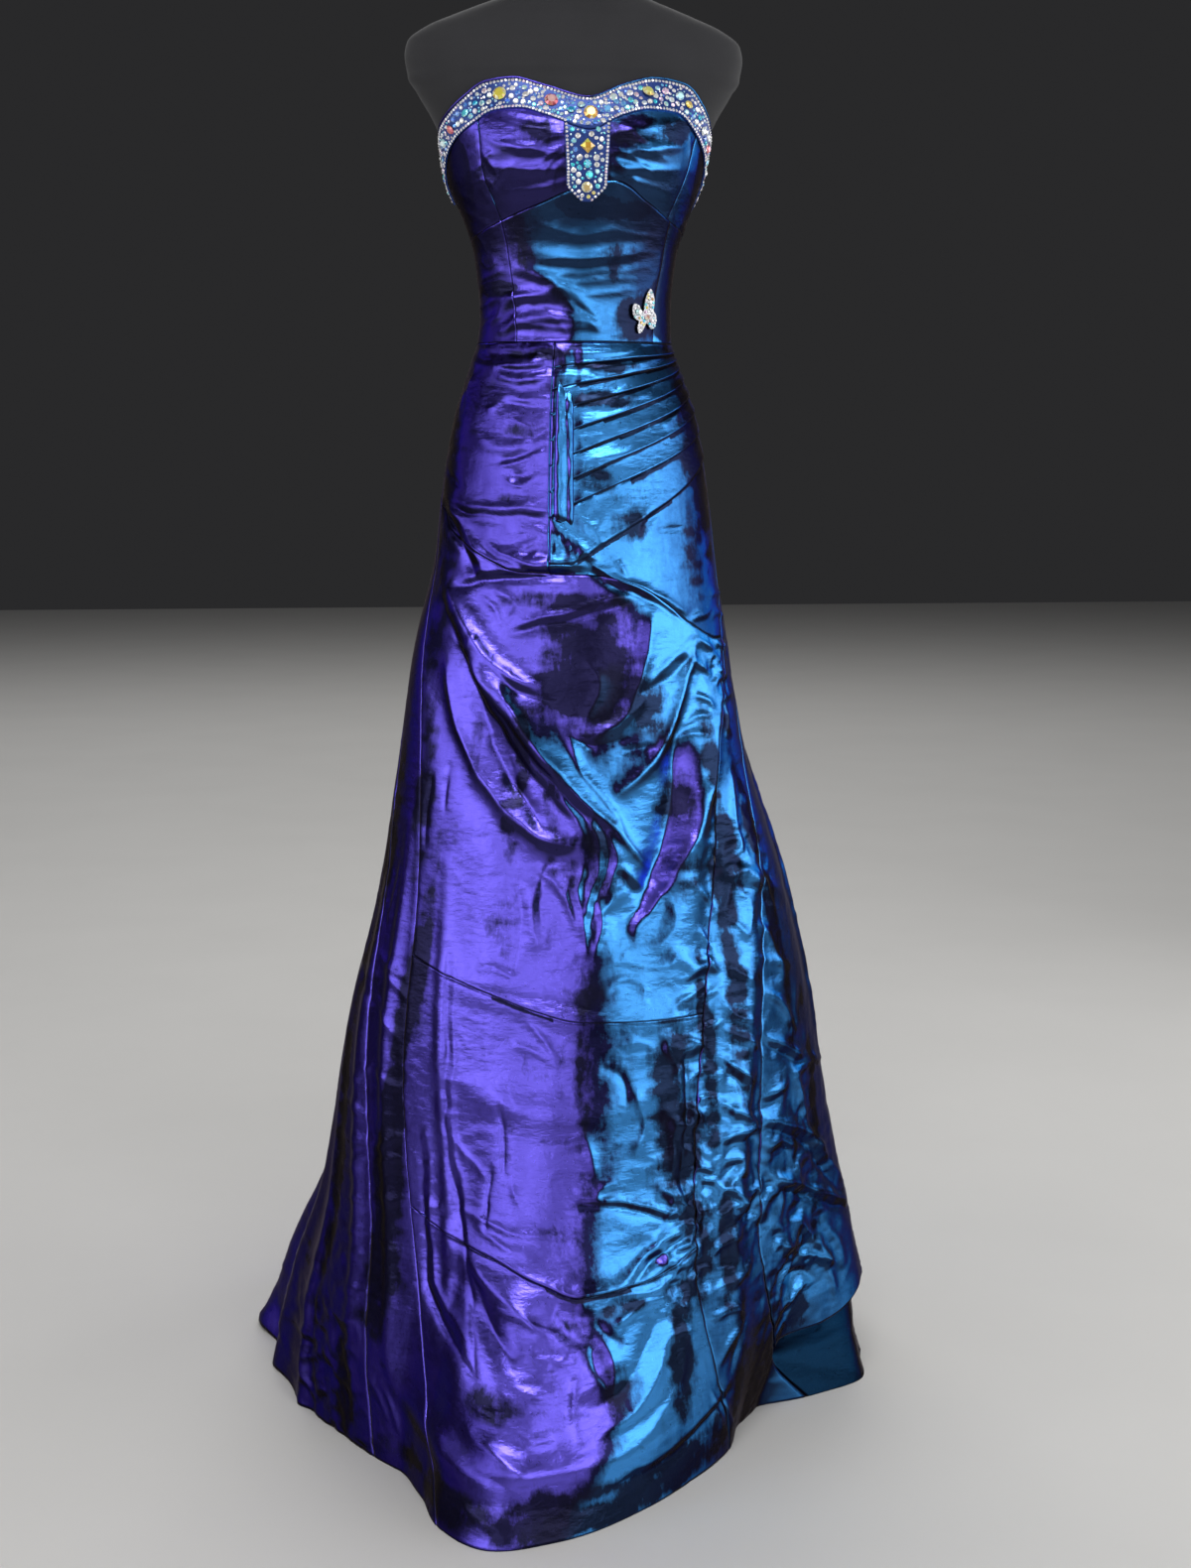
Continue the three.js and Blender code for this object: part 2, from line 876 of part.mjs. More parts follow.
// The rows of the pleated hip follow its fold edges: a crest on each edge and a foot just under it.
const pleatRows = [
  { middle: 0, side: 0, out: 0 },
  ...pleats.flatMap((pleat) => [
    { middle: pleat.middle, side: pleat.side, out: pleatRise },
    { middle: pleat.middle - pleatStep, side: pleat.side - pleatStep, out: 0 },
  ]),
];
const smoothRows = 6;
const hipRows = pleatRows.length - 1 + smoothRows;

function pleatedHip(v) {
  const row = Math.round(v * hipRows);
  const last = pleatRows.length - 1;
  return (turn) => {
    const way = THREE.MathUtils.clamp((turn - pleatClimb.from) / pleatClimb.span, 0, 1);
    const share = way ** pleatClimb.power;
    const lineHeight = (line) => lerp(line.middle, line.side, share);
    if (row === 0) return belowWaist;
    if (row <= last) return lineHeight(pleatRows[row]);
    return lerp(lineHeight(pleatRows[last]), hipFloor(turn), (row - last) / smoothRows);
  };
}

const lastPleatRow = pleatRows.length - 1;
addPanel(
  "hip_left",
  blue,
  leftHipColumns,
  hipRows,
  (u, v) => {
    const row = Math.round(v * hipRows);
    const spot = panelPlace("hipMiddle", "frontLeft", u, pleatedHip(v));
    const besideTuck = THREE.MathUtils.clamp((spot.turn - tuckTurns[1]) / pleatLead, 0, 1);
    const fade = besideTuck * Math.sqrt(Math.sin(Math.PI * Math.min(u, pleatEndShare)));
    const out = row <= lastPleatRow ? pleatRows[row].out * fade : 0;
    return { ...spot, out };
  },
  { end: [0, lastPleatRow, lastPleatRow + smoothRows / 2, hipRows] },
);

addPanel("hip_tuck", indigo, 4, 9, (u, v) => {
  const height = lerp(tuckHeights[0], tuckHeights[1], v);
  const turn = lerp(tuckTurns[0], tuckTurns[1], u);
  return { turn, height, out: trimClearance + tuckThickness, back: trimClearance };
});

// Skirt
const frontRows = 32;
const lowerRows = frontRows / 2;
// The columns of the draped front start under those of the two hips above it.
const frontColumns = rightHipColumns + leftHipColumns;
function columnTop(column) {
  const share = column / rightHipColumns;
  if (share < 1) return panelPlace("frontRight", "hipMiddle", share, hipFloor).turn;
  return panelPlace("hipMiddle", "frontLeft", (column - rightHipColumns) / leftHipColumns, hipFloor).turn;
}

addPanel(
  "skirt_front",
  violet,
  frontColumns,
  frontRows,
  (u, v) => {
    const top = columnTop(Math.round(u * frontColumns));
    const topHeight = hipBottom(top);
    const from = between("frontRight", "frontLeft", 0, topHeight);
    const to = between("frontRight", "frontLeft", 1, topHeight);
    const share = THREE.MathUtils.clamp((top - from) / (to - from), 0, 1);
    const height = (topHeight - halfSeam) * (1 - v);
    return { turn: between("frontRight", "frontLeft", share, height), height };
  },
  { start: rowList(0, frontRows, 2), end: rowList(0, frontRows, 2) },
);

// Below this height the side panel on the wearer's left rises to its raised hem, and its front edge
// parts from the seam.
const liftTop = leftHipEdge / 4;
const partingTurn = 1.5;
const lifted = (turn) => along(liftedHem, "turn", turn, "height");

// The rows of a long panel share every second row of the draped front beside it, and on the
// wearer's left the row under the last pleat.
const upperHeights = {
  [rightHipEdge]: rowList(0, upperRows).map((row) => lerp(belowWaist, rightHipEdge, row / upperRows)),
  [leftHipEdge]: [0, 0.5, 1, 1.5, 2].map((level) => {
    const pleatFoot = pleats.at(-1).side - pleatStep;
    return level < 1
      ? lerp(belowWaist, pleatFoot, level)
      : lerp(pleatFoot, leftHipEdge, level - 1);
  }),
};

function longPanel(name, color, columns, first, second, edge, hemOf, kept) {
  addPanel(
    name,
    color,
    columns,
    upperRows + lowerRows,
    (u, v) => {
      const row = Math.round(v * (upperRows + lowerRows));
      const lower = (row - upperRows) / lowerRows;
      const level = row <= upperRows ? upperHeights[edge][row] : edge * (1 - lower);
      if (!hemOf || level >= liftTop) return panelPlace(first, second, u, () => level);
      const spot = panelPlace(first, second, u, (turn) => lerp(hemOf(turn), liftTop, level / liftTop));
      const parting = partingTurn * (1 - u) * (1 - level / liftTop);
      return { ...spot, turn: spot.turn + parting };
    },
    kept,
  );
}

const besidePleats = { start: [0, ...rowList(2, upperRows + lowerRows)] };
longPanel("skirt_side_front_right", indigo, 5, "sideRight", "frontRight", rightHipEdge);
longPanel("skirt_side_back_right", violet, 6, "backRight", "sideRight", rightHipEdge);
longPanel("skirt_back_right", indigo, 12, -180, "backRight", rightHipEdge);
longPanel("skirt_side_front_left", blue, 6, "frontLeft", "sideLeft", leftHipEdge, null, besidePleats);
longPanel("skirt_side_back_left", blue, 9, "sideLeft", "backLeft", leftHipEdge, lifted);
longPanel("skirt_back_left", indigo, 10, "backLeft", 180, leftHipEdge);

// The layer that shows under the raised hem. It leaves the side seam at the floor and runs behind
// the panel above it.
const underEnd = 130;
const underEdgeTop = leftHipEdge / lowerRows;
const underFoot = 3;
const underDepth = 14;
const lowSteps = 4;
const underHeights = [
  300, 225, 155, 104, 73,
  ...rowList(0, lowSteps).map((step) => underEdgeTop * (1 - step / lowSteps)),
];
// The share of its width over which the layer moves back from the seam at the floor
const underOpening = 0.25;
const underRows = underHeights.length - 1;
addPanel(
  "skirt_under_left",
  indigo,
  9,
  underRows,
  (u, v) => {
    const height = underHeights[Math.round(v * underRows)];
    const atFoot = height <= underEdgeTop;
    const parting = atFoot ? 0 : partingTurn * (1 - u);
    const turn = between("sideLeft", underEnd, u, height) + parting;
    const foot = lerp(underFoot, underDepth, u);
    const behind = lerp(foot, underDepth, Math.min(1, height / underEdgeTop));
    const set = behind * (atFoot ? Math.min(1, u / underOpening) : 1);
    return { turn, height, out: -set, back: -set - wall };
  },
  { start: [...rowList(0, underRows - lowSteps), underRows] },
);

// Dress form, kept clear of the cloth
const hipEase = 5;
const hipEaseTop = 1200;
const hipRowsFrom = 879;
const insideAt = (height) => wall + formClearance + (height < hipEaseTop ? hipEase : 0);
const gownRows = outline
  .filter((row) => row.height >= hipRowsFrom && row.height < formTop[0].height)
  .map((row) => ({
    height: row.height,
    half: Math.min(row.right, row.left) - insideAt(row.height),
    front: row.front - insideAt(row.height),
    back: row.back - insideAt(row.height),
  }));
const form = [...gownRows, ...formTop];

// A closed body through level rings, with a point on its axis at each end
function ringBody(rings, columns) {
  const points = rings.flatMap((ring) =>
    Array.from({ length: columns }, (_, i) => {
      const angle = (2 * Math.PI * i) / columns;
      const depth = Math.cos(angle) > 0 ? ring.front : ring.back;
      return new THREE.Vector3(ring.half * Math.sin(angle), -depth * Math.cos(angle), ring.height);
    }),
  );
  const bottom = points.push(new THREE.Vector3(0, 0, rings[0].height)) - 1;
  const top = points.push(new THREE.Vector3(0, 0, rings.at(-1).height)) - 1;
  const faces = [];
  for (let i = 0; i < columns; i += 1) {
    const next = (i + 1) % columns;
    faces.push(bottom, next, i);
    for (let j = 0; j < rings.length - 1; j += 1) {
      const [a, b] = [j * columns + i, j * columns + next];
      faces.push(a, b, b + columns, a, b + columns, a + columns);
    }
    const ring = (rings.length - 1) * columns;
    faces.push(top, ring + i, ring + next);
  }
  return indexedGeometry(points, faces);
}

const ringHeights = [
  torsoBottom, 975, 1020, 1065, 1105, 1140, 1165, 1185, 1203, 1218, 1232, 1246, 1262, 1285, 1315,
  1345, 1370, 1392, 1410, 1425, 1438, 1450, 1464, 1482, 1500,
];
const formColumns = 26;
const formRing = (height) => ({
  height,
  half: along(form, "height", height, "half"),
  front: along(form, "height", height, "front"),
  back: along(form, "height", height, "back"),
});
const shoulderRings = formTop.slice(1, 7).map((row) => row.height);
const torsoRings = [...ringHeights, ...shoulderRings].map(formRing);
addMesh("form_torso", ringBody(torsoRings, formColumns), jersey, jerseyFinish);

const neckRings = formTop.slice(6).map((row) => formRing(row.height));
neckRings[0].height += seamGap;
const neckTop = { height: 1640, half: 48, front: 45, back: 46 };
neckRings.push(neckTop);
addMesh("form_neck", ringBody(neckRings, formColumns), jersey, jerseyFinish);

const poleTop = torsoBottom - seamGap;
const poleBottom = baseThickness + seamGap;
const poleSides = 20;
const poleLength = poleTop - poleBottom;
const poleGeometry = new THREE.CylinderGeometry(poleRadius, poleRadius, poleLength, poleSides);
poleGeometry.rotateX(Math.PI / 2);
const pole = addMesh("form_pole", poleGeometry, steel, poleFinish);
pole.position.z = (poleTop + poleBottom) / 2;

const baseSides = 36;
const baseEdge = { drop: 4, inset: 6 };
const baseGeometry = new THREE.LatheGeometry(
  [
    new THREE.Vector2(0, 0),
    new THREE.Vector2(baseRadius, 0),
    new THREE.Vector2(baseRadius, baseThickness - baseEdge.drop),
    new THREE.Vector2(baseRadius - baseEdge.inset, baseThickness),
    new THREE.Vector2(0, baseThickness),
  ],
  baseSides,
);
baseGeometry.rotateX(Math.PI / 2);
addMesh("form_base", baseGeometry, steel, baseFinish);

export default gown;
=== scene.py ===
# Strapless evening gown in shot taffeta on a limbless dress form: its cloth, beadwork, stand,
# floor, lights and camera. Sizes in the dictionaries are millimetres and degrees of turn round the
# body, from the front towards the wearer's left. Materials, lights and camera are in metres.
import bpy
import math
import numpy as np
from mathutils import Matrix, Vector
from types import SimpleNamespace


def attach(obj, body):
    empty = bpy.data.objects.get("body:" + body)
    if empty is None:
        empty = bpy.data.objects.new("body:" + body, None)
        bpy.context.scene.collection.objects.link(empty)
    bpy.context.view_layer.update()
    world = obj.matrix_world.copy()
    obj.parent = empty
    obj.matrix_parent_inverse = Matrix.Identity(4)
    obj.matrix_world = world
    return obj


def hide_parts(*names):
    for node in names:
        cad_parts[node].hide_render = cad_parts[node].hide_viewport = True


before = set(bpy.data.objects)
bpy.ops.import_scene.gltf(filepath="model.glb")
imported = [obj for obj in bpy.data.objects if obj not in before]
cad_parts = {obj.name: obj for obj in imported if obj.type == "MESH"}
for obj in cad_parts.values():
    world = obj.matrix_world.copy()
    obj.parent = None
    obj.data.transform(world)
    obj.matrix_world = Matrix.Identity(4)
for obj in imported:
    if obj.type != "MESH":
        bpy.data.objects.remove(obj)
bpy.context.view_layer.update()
print("dress form and cloth solids loaded")


# Tables: one array for each named column
def columns(names, rows):
    return {name: np.array([row[i] for row in rows], float) for i, name in enumerate(names.split())}


outline = columns("height right left front back", [
    (0, 345, 365, 350, 600), (122, 325, 347, 310, 520), (242, 291, 320, 257, 407),
    (443, 260, 276, 205, 280), (617, 220, 236, 168, 206), (755, 199, 194, 146, 166),
    (879, 181, 172, 130, 146), (979, 157, 157, 119, 136), (1046, 149, 149, 111, 131),
    (1133, 134, 134, 98, 113), (1177, 120, 119, 88, 97), (1215, 108, 107, 78, 84),
    (1242, 105, 106, 77, 80), (1307, 111, 112, 83, 82), (1339, 120, 122, 89, 86),
    (1387, 140, 139, 98, 94), (1425, 147, 147, 99, 99), (1455, 160, 160, 90, 103),
    (1480, 175, 175, 80, 104), (1500, 184, 184, 74, 104),
])
hem = columns("direction reach", [
    (-180, 610), (-160, 590), (-145, 545), (-130, 470), (-115, 385), (-100, 342), (-83, 307),
    (-65, 291), (-47, 296), (-35, 337), (-27, 393), (-18, 428), (-9, 401), (7, 329), (21, 280),
    (38, 243), (55, 212), (68, 215), (80, 280), (90, 350), (100, 367), (120, 430), (145, 545),
    (160, 590), (180, 610),
])
neckline = columns("turn height band", [
    (-180, 1362, 38), (-130, 1366, 38), (-112, 1378, 42), (-100, 1400, 44), (-90, 1424, 40),
    (-78, 1440, 30), (-63, 1454, 24), (-47, 1471, 27), (-34, 1486, 31), (-24, 1489, 33),
    (-14, 1481, 34), (2, 1468, 34), (16, 1484, 34), (26, 1491, 34), (38, 1487, 31), (52, 1467, 27),
    (68, 1445, 24), (80, 1432, 30), (90, 1418, 38), (100, 1396, 44), (112, 1376, 42),
    (130, 1366, 38), (180, 1362, 38),
])
underBust = columns("turn height", [
    (-96, 1322), (-71, 1328), (-46, 1340), (-23, 1355), (0, 1374), (13, 1380), (31, 1361),
    (54, 1341), (72, 1333), (96, 1322),
])
waistHeight, rightHipEdge, leftHipEdge = 1212, 1035, 890
hipEdge = columns("turn height", [
    (-96, rightHipEdge), (-82, rightHipEdge), (-68, 1012), (-48, 988), (-24, 966), (0, 964),
    (19, 952), (32, 932), (46, 906), (62, leftHipEdge), (96, leftHipEdge),
])
bodiceSeams = {
    "princessRight": columns("height turn", [(waistHeight, -40), (1302, -45), (1345, -46)]),
    "princessLeft": columns("height turn", [(waistHeight, 48), (1260, 51), (1302, 55), (1345, 53)]),
    "cupRight": columns("height turn", [(1335, -45), (1400, -47), (1480, -42)]),
    "cupLeft": columns("height turn", [(1335, 49), (1430, 57), (1480, 60)]),
}
# Seams of the skirt by level: 0 is the floor, 1 the lower edge of the draped hip and 2 the waist
skirtSeams = {
    "hipMiddle": (leftHipEdge, columns("level turn", [(0, -13), (2, -16)])),
    "frontRight": (rightHipEdge, columns("level turn", [
        (0, -28), (0.125, -38), (0.25, -46), (0.375, -50.5), (0.5, -53.5), (0.625, -58),
        (0.75, -65), (0.875, -76), (1, -86), (2, -94)])),
    "sideRight": (rightHipEdge, columns("level turn", [
        (0, -56), (0.25, -62), (0.5, -72), (0.75, -88), (1, -106), (2, -114)])),
    "backRight": (rightHipEdge, columns("level turn", [
        (0, -104), (0.5, -116), (1, -138), (2, -144)])),
    "frontLeft": (leftHipEdge, columns("level turn", [
        (0, 37), (0.125, 26.5), (0.25, 21.5), (0.375, 22.5), (0.5, 26), (0.625, 31.5),
        (0.75, 40.5), (0.875, 52.5), (1, 68), (2, 94)])),
    "sideLeft": (leftHipEdge, columns("level turn", [
        (0, 78), (0.25, 45), (0.375, 43.5), (0.5, 45), (0.625, 51), (0.75, 62), (0.875, 75),
        (1, 88), (2, 114)])),
    "backLeft": (leftHipEdge, columns("level turn", [(0, 136), (0.5, 131), (1, 133), (2, 144)])),
}
liftedHem = columns("turn height", [
    (40, 0), (60, 60), (66, 84), (79, 92), (92, 122), (103, 108), (118, 50), (128, 0), (140, 0),
])

# Large folds: rise, spread and three (turn, height) places that each passes
largeFolds = [
    (9, 19, (-64, 945), (-31, 835), (-2, 672)), (-5, 24, (-72, 900), (-42, 770), (-10, 622)),
    (6, 15, (-26, 850), (-5, 742), (12, 655)), (-7, 21, (40, 850), (24, 705), (10, 580)),
    (7, 17, (52, 830), (33, 690), (20, 540)), (2, 11, (-53, 548), (-5, 492), (31, 492)),
    (3, 16, (-40, 440), (-10, 395), (20, 420)), (3, 14, (-42, 275), (-6, 213), (29, 266)),
    (9, 18, (-47, 92), (-13, 58), (22, 80)), (4, 9, (-45, 652), (-38, 410), (-33, 208)),
    (-4, 13, (-28, 225), (-22, 190), (-14, 150)), (-4, 10, (-8, 190), (-3, 175), (3, 160)),
    (-6, 13, (46, 730), (28, 500), (23, 230)), (7, 16, (62, 700), (40, 470), (34, 150)),
    (4, 8, (21, 560), (27, 540), (33, 545)), (5, 8, (17, 470), (22, 455), (28, 470)),
    (5, 8, (15, 395), (20, 375), (25, 390)), (5, 8, (13, 320), (18, 300), (23, 315)),
    (5, 8, (12, 250), (17, 228), (22, 240)), (5, 11, (-66, 690), (-58, 400), (-50, 110)),
    (6, 15, (-78, 620), (-70, 330), (-64, 60)), (3, 8, (39, 638), (58, 618), (76, 598)),
    (4, 10, (45, 288), (60, 292), (78, 312)), (4, 12, (50, 190), (62, 215), (80, 240)),
    (2.5, 8, (-90, 1042), (-50, 1026), (-17, 1031)), (4, 9, (-76, 1010), (-26, 975), (2, 990)),
    (3, 6, (-92, 1199), (-40, 1190), (34, 1203)), (2.5, 6, (-62, 1184), (-10, 1176), (46, 1203)),
    (2, 9, (-60, 1122), (-42, 1100), (-24, 1110)), (2.5, 8, (-66, 1226), (-36, 1262), (-6, 1252)),
    (3, 7, (-58, 1222), (-30, 1238), (6, 1232)), (2.5, 7, (-40, 1290), (-14, 1272), (14, 1228)),
    (1.5, 8, (-34, 1310), (4, 1300), (44, 1318)), (2, 5, (-8, 1424), (-22, 1432), (-38, 1444)),
    (2, 5, (-8, 1408), (-24, 1412), (-42, 1422)), (2, 5, (-8, 1392), (-24, 1390), (-42, 1396)),
    (1.6, 5, (-8, 1378), (-22, 1370), (-40, 1368)), (2, 5, (10, 1424), (24, 1434), (40, 1444)),
    (2, 5, (10, 1410), (26, 1412), (46, 1420)), (2, 5, (10, 1396), (26, 1392), (46, 1394)),
    (1.6, 5, (12, 1386), (26, 1378), (44, 1370)),
]
# Flutes that open towards the hem: turn, rise, spread
flutes = [
    (-166, 20, 42), (-142, 18, 34), (-124, 15, 24), (-112, 13, 18), (-101, 12, 16), (-89, 9, 16),
    (112, 14, 24), (134, 17, 32), (158, 20, 42),
]
bust = {"turn": 29, "height": 1412, "rise": 10, "turnSpread": 23, "heightSpread": 44}
hemFlareTop, fluteTop = 520, 900
bandInset = 3  # from the neckline down to the top of the beaded band


def along(table, key, at, column):  # smooth curve through a table that never overshoots its rows
    x, y = table[key], table[column]
    step = np.diff(x)
    slope = np.diff(y) / step
    tangent = np.concatenate([slope[:1], np.zeros(len(x) - 2), slope[-1:]])
    before, after = slope[:-1], slope[1:]
    bends = before * after > 0
    heavy, light = 2 * step[1:] + step[:-1], step[1:] + 2 * step[:-1]
    weighed = heavy[bends] / before[bends] + light[bends] / after[bends]
    tangent[1:-1][bends] = (heavy + light)[bends] / weighed
    value = np.clip(at, x[0], x[-1])
    i = np.clip(np.searchsorted(x, value) - 1, 0, len(x) - 2)
    width = step[i]
    t = (value - x[i]) / width
    return (y[i] * (1 + 2 * t) * (1 - t) ** 2 + y[i + 1] * t * t * (3 - 2 * t)
            + tangent[i] * width * t * (1 - t) ** 2 + tangent[i + 1] * width * t * t * (t - 1))


def mix(a, b, share):
    return a + (b - a) * share


def ease(value, low, high):  # 0 below low, 1 above high, smooth between
    t = np.clip((value - low) / (high - low), 0, 1)
    return t * t * (3 - 2 * t)


def unit(v):
    return v / np.maximum(np.linalg.norm(v, axis=-1, keepdims=True), 1e-9)


def neckHeight(turn):
    return along(neckline, "turn", turn, "height")


def bandBottom(turn):
    return neckHeight(turn) - bandInset - along(neckline, "turn", turn, "band")


def bustSeam(turn):
    return along(underBust, "turn", turn, "height")


def hipBottom(turn):
    return along(hipEdge, "turn", turn, "height")


def degreesPerMm(height):
    right, front = [along(outline, "height", height, key) for key in ("right", "front")]
    return np.degrees(2 / (right + front))


def seamTurn(name, height):
    if name in bodiceSeams:
        return along(bodiceSeams[name], "height", height, "turn")
    edge, rows = skirtSeams[name]
    level = np.where(height < edge, height / edge, 1 + (height - edge) / (waistHeight - edge))
    return along(rows, "level", level, "turn")


def bareSurface(turn, height):
    sine, cosine = np.sin(np.radians(turn)), np.cos(np.radians(turn))
    right, left, front, back = [along(outline, "height", height, key)
                                for key in ("right", "left", "front", "back")]
    wide, deep = np.where(sine < 0, right, left), np.where(cosine > 0, front, back)
    x, y = wide * sine, -deep * cosine
    angle = np.arctan2(x, -y)
    floorWide = np.where(sine < 0, outline["right"][0], outline["left"][0])
    floorDeep = np.where(cosine > 0, outline["front"][0], outline["back"][0])
    atFloor = np.hypot(np.sin(angle) / floorWide, np.cos(angle) / floorDeep)
    pull = along(hem, "direction", np.degrees(angle), "reach") * atFloor
    scale = 1 + np.clip(1 - height / hemFlareTop, 0, None) ** 1.5 * (pull - 1)
    return np.stack([x * scale, y * scale, height + 0 * x], -1)


# Places near a path: which they are, their distance from it and their share of the way along
def nearStroke(turn, height, degree, path, margin):
    path = np.array(path, float)
    low, high = path.min(axis=0), path.max(axis=0)
    reach = margin * degree
    widest = reach.max()
    if (low[0] - widest > turn.max() or high[0] + widest < turn.min()
            or low[1] - margin > height.max() or high[1] + margin < height.min()):
        return None, None, None
    near = ((turn > low[0] - reach) & (turn < high[0] + reach)
            & (height > low[1] - margin) & (height < high[1] + margin))
    t, h, scale = turn[near], height[near], 1 / degree[near]
    best, share = np.full(t.shape, 1e9), np.zeros(t.shape)
    for i in range(len(path) - 1):
        ax, ay = (path[i, 0] - t) * scale, path[i, 1] - h
        bx, by = (path[i + 1, 0] - path[i, 0]) * scale, path[i + 1, 1] - path[i, 1]
        s = np.clip(-(ax * bx + ay * by) / (bx * bx + by * by), 0, 1)
        distance = np.hypot(ax + s * bx, ay + s * by)
        closer = distance < best
        best = np.where(closer, distance, best)
        share = np.where(closer, (i + s) / (len(path) - 1), share)
    return near, best, share


def foldPath(start, middle, end, steps=8):  # a bend from start to end through the middle
    s = np.linspace(0, 1, steps + 1)[:, None]
    start, middle, end = np.array(start), np.array(middle), np.array(end)
    control = 2 * middle - (start + end) / 2
    return start * (1 - s) ** 2 + 2 * control * s * (1 - s) + end * s * s


def largeRelief(turn, height):
    turn, height = np.broadcast_arrays(np.asarray(turn, float), np.asarray(height, float))
    out, degree = np.zeros(turn.shape), degreesPerMm(height)
    for rise, spread, start, middle, end in largeFolds:
        path = foldPath(start, middle, end)
        near, distance, share = nearStroke(turn, height, degree, path, 3 * spread)
        if near is None:
            continue
        out[near] += rise * (0.3 + 0.7 * np.sin(np.pi * share)) * np.exp(-(distance / spread) ** 2)
    opening = np.clip(1 - height / fluteTop, 0, None) ** 1.3
    for fluteTurn, rise, spread in flutes:
        out += rise * opening * np.exp(-(((turn - fluteTurn) / degree) / spread) ** 2)
    overBust = np.exp(-((height - bust["height"]) / bust["heightSpread"]) ** 2)
    for cup in (-bust["turn"], bust["turn"]):
        out += bust["rise"] * overBust * np.exp(-((turn - cup) / bust["turnSpread"]) ** 2)
    return out


def foldedSurface(turn, height):
    reach = 0.5
    across = bareSurface(turn + reach, height) - bareSurface(turn - reach, height)
    up = bareSurface(turn, height + reach) - bareSurface(turn, np.maximum(0, height - reach))
    relief = largeRelief(turn, height)[..., None]
    return bareSurface(turn, height) + unit(np.cross(across, up)) * relief


def clothAt(turn, height):  # points of the folded cloth and the way each faces, for loose places
    reach = 0.4
    across = foldedSurface(turn + reach, height) - foldedSurface(turn - reach, height)
    up = foldedSurface(turn, height + reach) - foldedSurface(turn, np.maximum(0, height - reach))
    return foldedSurface(turn, height), unit(np.cross(across, up))


def gridNormals(points):  # rows of the grid run down, its columns run to the wearer's left
    return unit(np.cross(np.gradient(points, axis=1), -np.gradient(points, axis=0)))


def cloud(x, y, seed):  # smooth noise from -1 to 1, one cell a unit
    dots = np.random.default_rng(seed).uniform(-1, 1, (64, 64))
    ix, iy = np.floor(x).astype(int), np.floor(y).astype(int)
    fx, fy = x - ix, y - iy
    fx, fy = fx * fx * (3 - 2 * fx), fy * fy * (3 - 2 * fy)
    low = mix(dots[ix % 64, iy % 64], dots[(ix + 1) % 64, iy % 64], fx)
    high = mix(dots[ix % 64, (iy + 1) % 64], dots[(ix + 1) % 64, (iy + 1) % 64], fx)
    return mix(low, high, fy)


# Creases listed one by one: rise, spread, then the turn and height of each place that it passes
creases = {}
creases["bodice"] = [
    (1.6, 4, -7, 1435, -21.5, 1445, -34.5, 1450), (1.3, 4, -7, 1430, -19, 1432, -32.5, 1425),
    (1.6, 4, -7, 1425, -17.5, 1420, -29, 1408), (1.4, 4, -6.5, 1415, -16, 1400, -24, 1385),
    (1.2, 4, -6.5, 1400, -12, 1388, -15, 1370), (1, 3, -6.5, 1408, -14, 1395, -19.5, 1380),
    (1.6, 4, 10.5, 1438, 20, 1428, 31, 1412), (1.4, 4, 10.5, 1420, 23.5, 1412, 38, 1402),
    (1.3, 4, 11, 1405, 18.5, 1388, 24.5, 1375), (1, 3, 10.5, 1388, 16.5, 1375, 21, 1368),
    (1.2, 3, 10.5, 1412, 22, 1400, 31.5, 1385), (1, 3, 10.5, 1430, 24.5, 1422, 41, 1415),
    (1.3, 4, -46, 1415, -39.5, 1390, -43.5, 1375), (1.1, 3, -53, 1390, -43.5, 1405, -39.5, 1412),
    (1.2, 4, -43.5, 1375, -34, 1392, -27, 1398), (1.1, 3, -57.5, 1378, -46, 1382, -41.5, 1370),
    (0.9, 3, 48.5, 1442, 52.5, 1418, 55, 1392), (1.3, 4, -51, 1372, -47.5, 1358, -44.5, 1342),
    (1.1, 4, -73, 1370, -59.5, 1360, -50, 1355), (1.2, 5, -78, 1352, -61.5, 1342, -53, 1330),
    (1, 4, -90, 1335, -69.5, 1325, -63.5, 1310), (1.1, 5, 57.5, 1378, 74, 1365),
    (1, 4, 63.5, 1342, 85.5, 1332), (0.9, 5, -31, 1280, -2, 1285, 44, 1292),
    (1, 5, -23.5, 1265, -2, 1275, 35.5, 1280), (0.8, 4, -27, 1298, 7, 1302, 47, 1308),
    (0.8, 5, -22, 1335, -2.5, 1322, 17, 1332), (0.7, 4, 11, 1330, 29.5, 1325, 46.5, 1325),
    (-0.7, 3, -12.5, 1360, -13.5, 1345, -14.5, 1330), (-0.9, 3, -4.5, 1258, 4.5, 1240, 14, 1228),
    (1.2, 4, -8.5, 1255, 1, 1238, 10, 1222), (1.5, 5, -92.5, 1250, -47.5, 1260, -25, 1260),
    (-0.9, 4, -99, 1260, -47, 1268, -25, 1268), (1.4, 5, -51.5, 1218, -41.5, 1238, -31.5, 1250),
    (1.5, 5, -56, 1225, -29, 1230, 6.5, 1225), (1.2, 4, -78, 1230, -54, 1240, -41.5, 1240),
    (1, 4, -78.5, 1280, -61.5, 1285, -49, 1288), (1, 4, -18, 1240, -4, 1235, 8, 1228),
    (1, 4, -24.5, 1248, -15.5, 1235, -8.5, 1220), (1.3, 4, -6.5, 1215, -24, 1212, -61.5, 1212),
    (1, 4, 15, 1240, 27, 1238, 42, 1228), (1, 4, -12, 1270, 7.5, 1262, 33.5, 1268),
    (0.9, 4, -73.5, 1302, -63.5, 1295, -55, 1300),
]
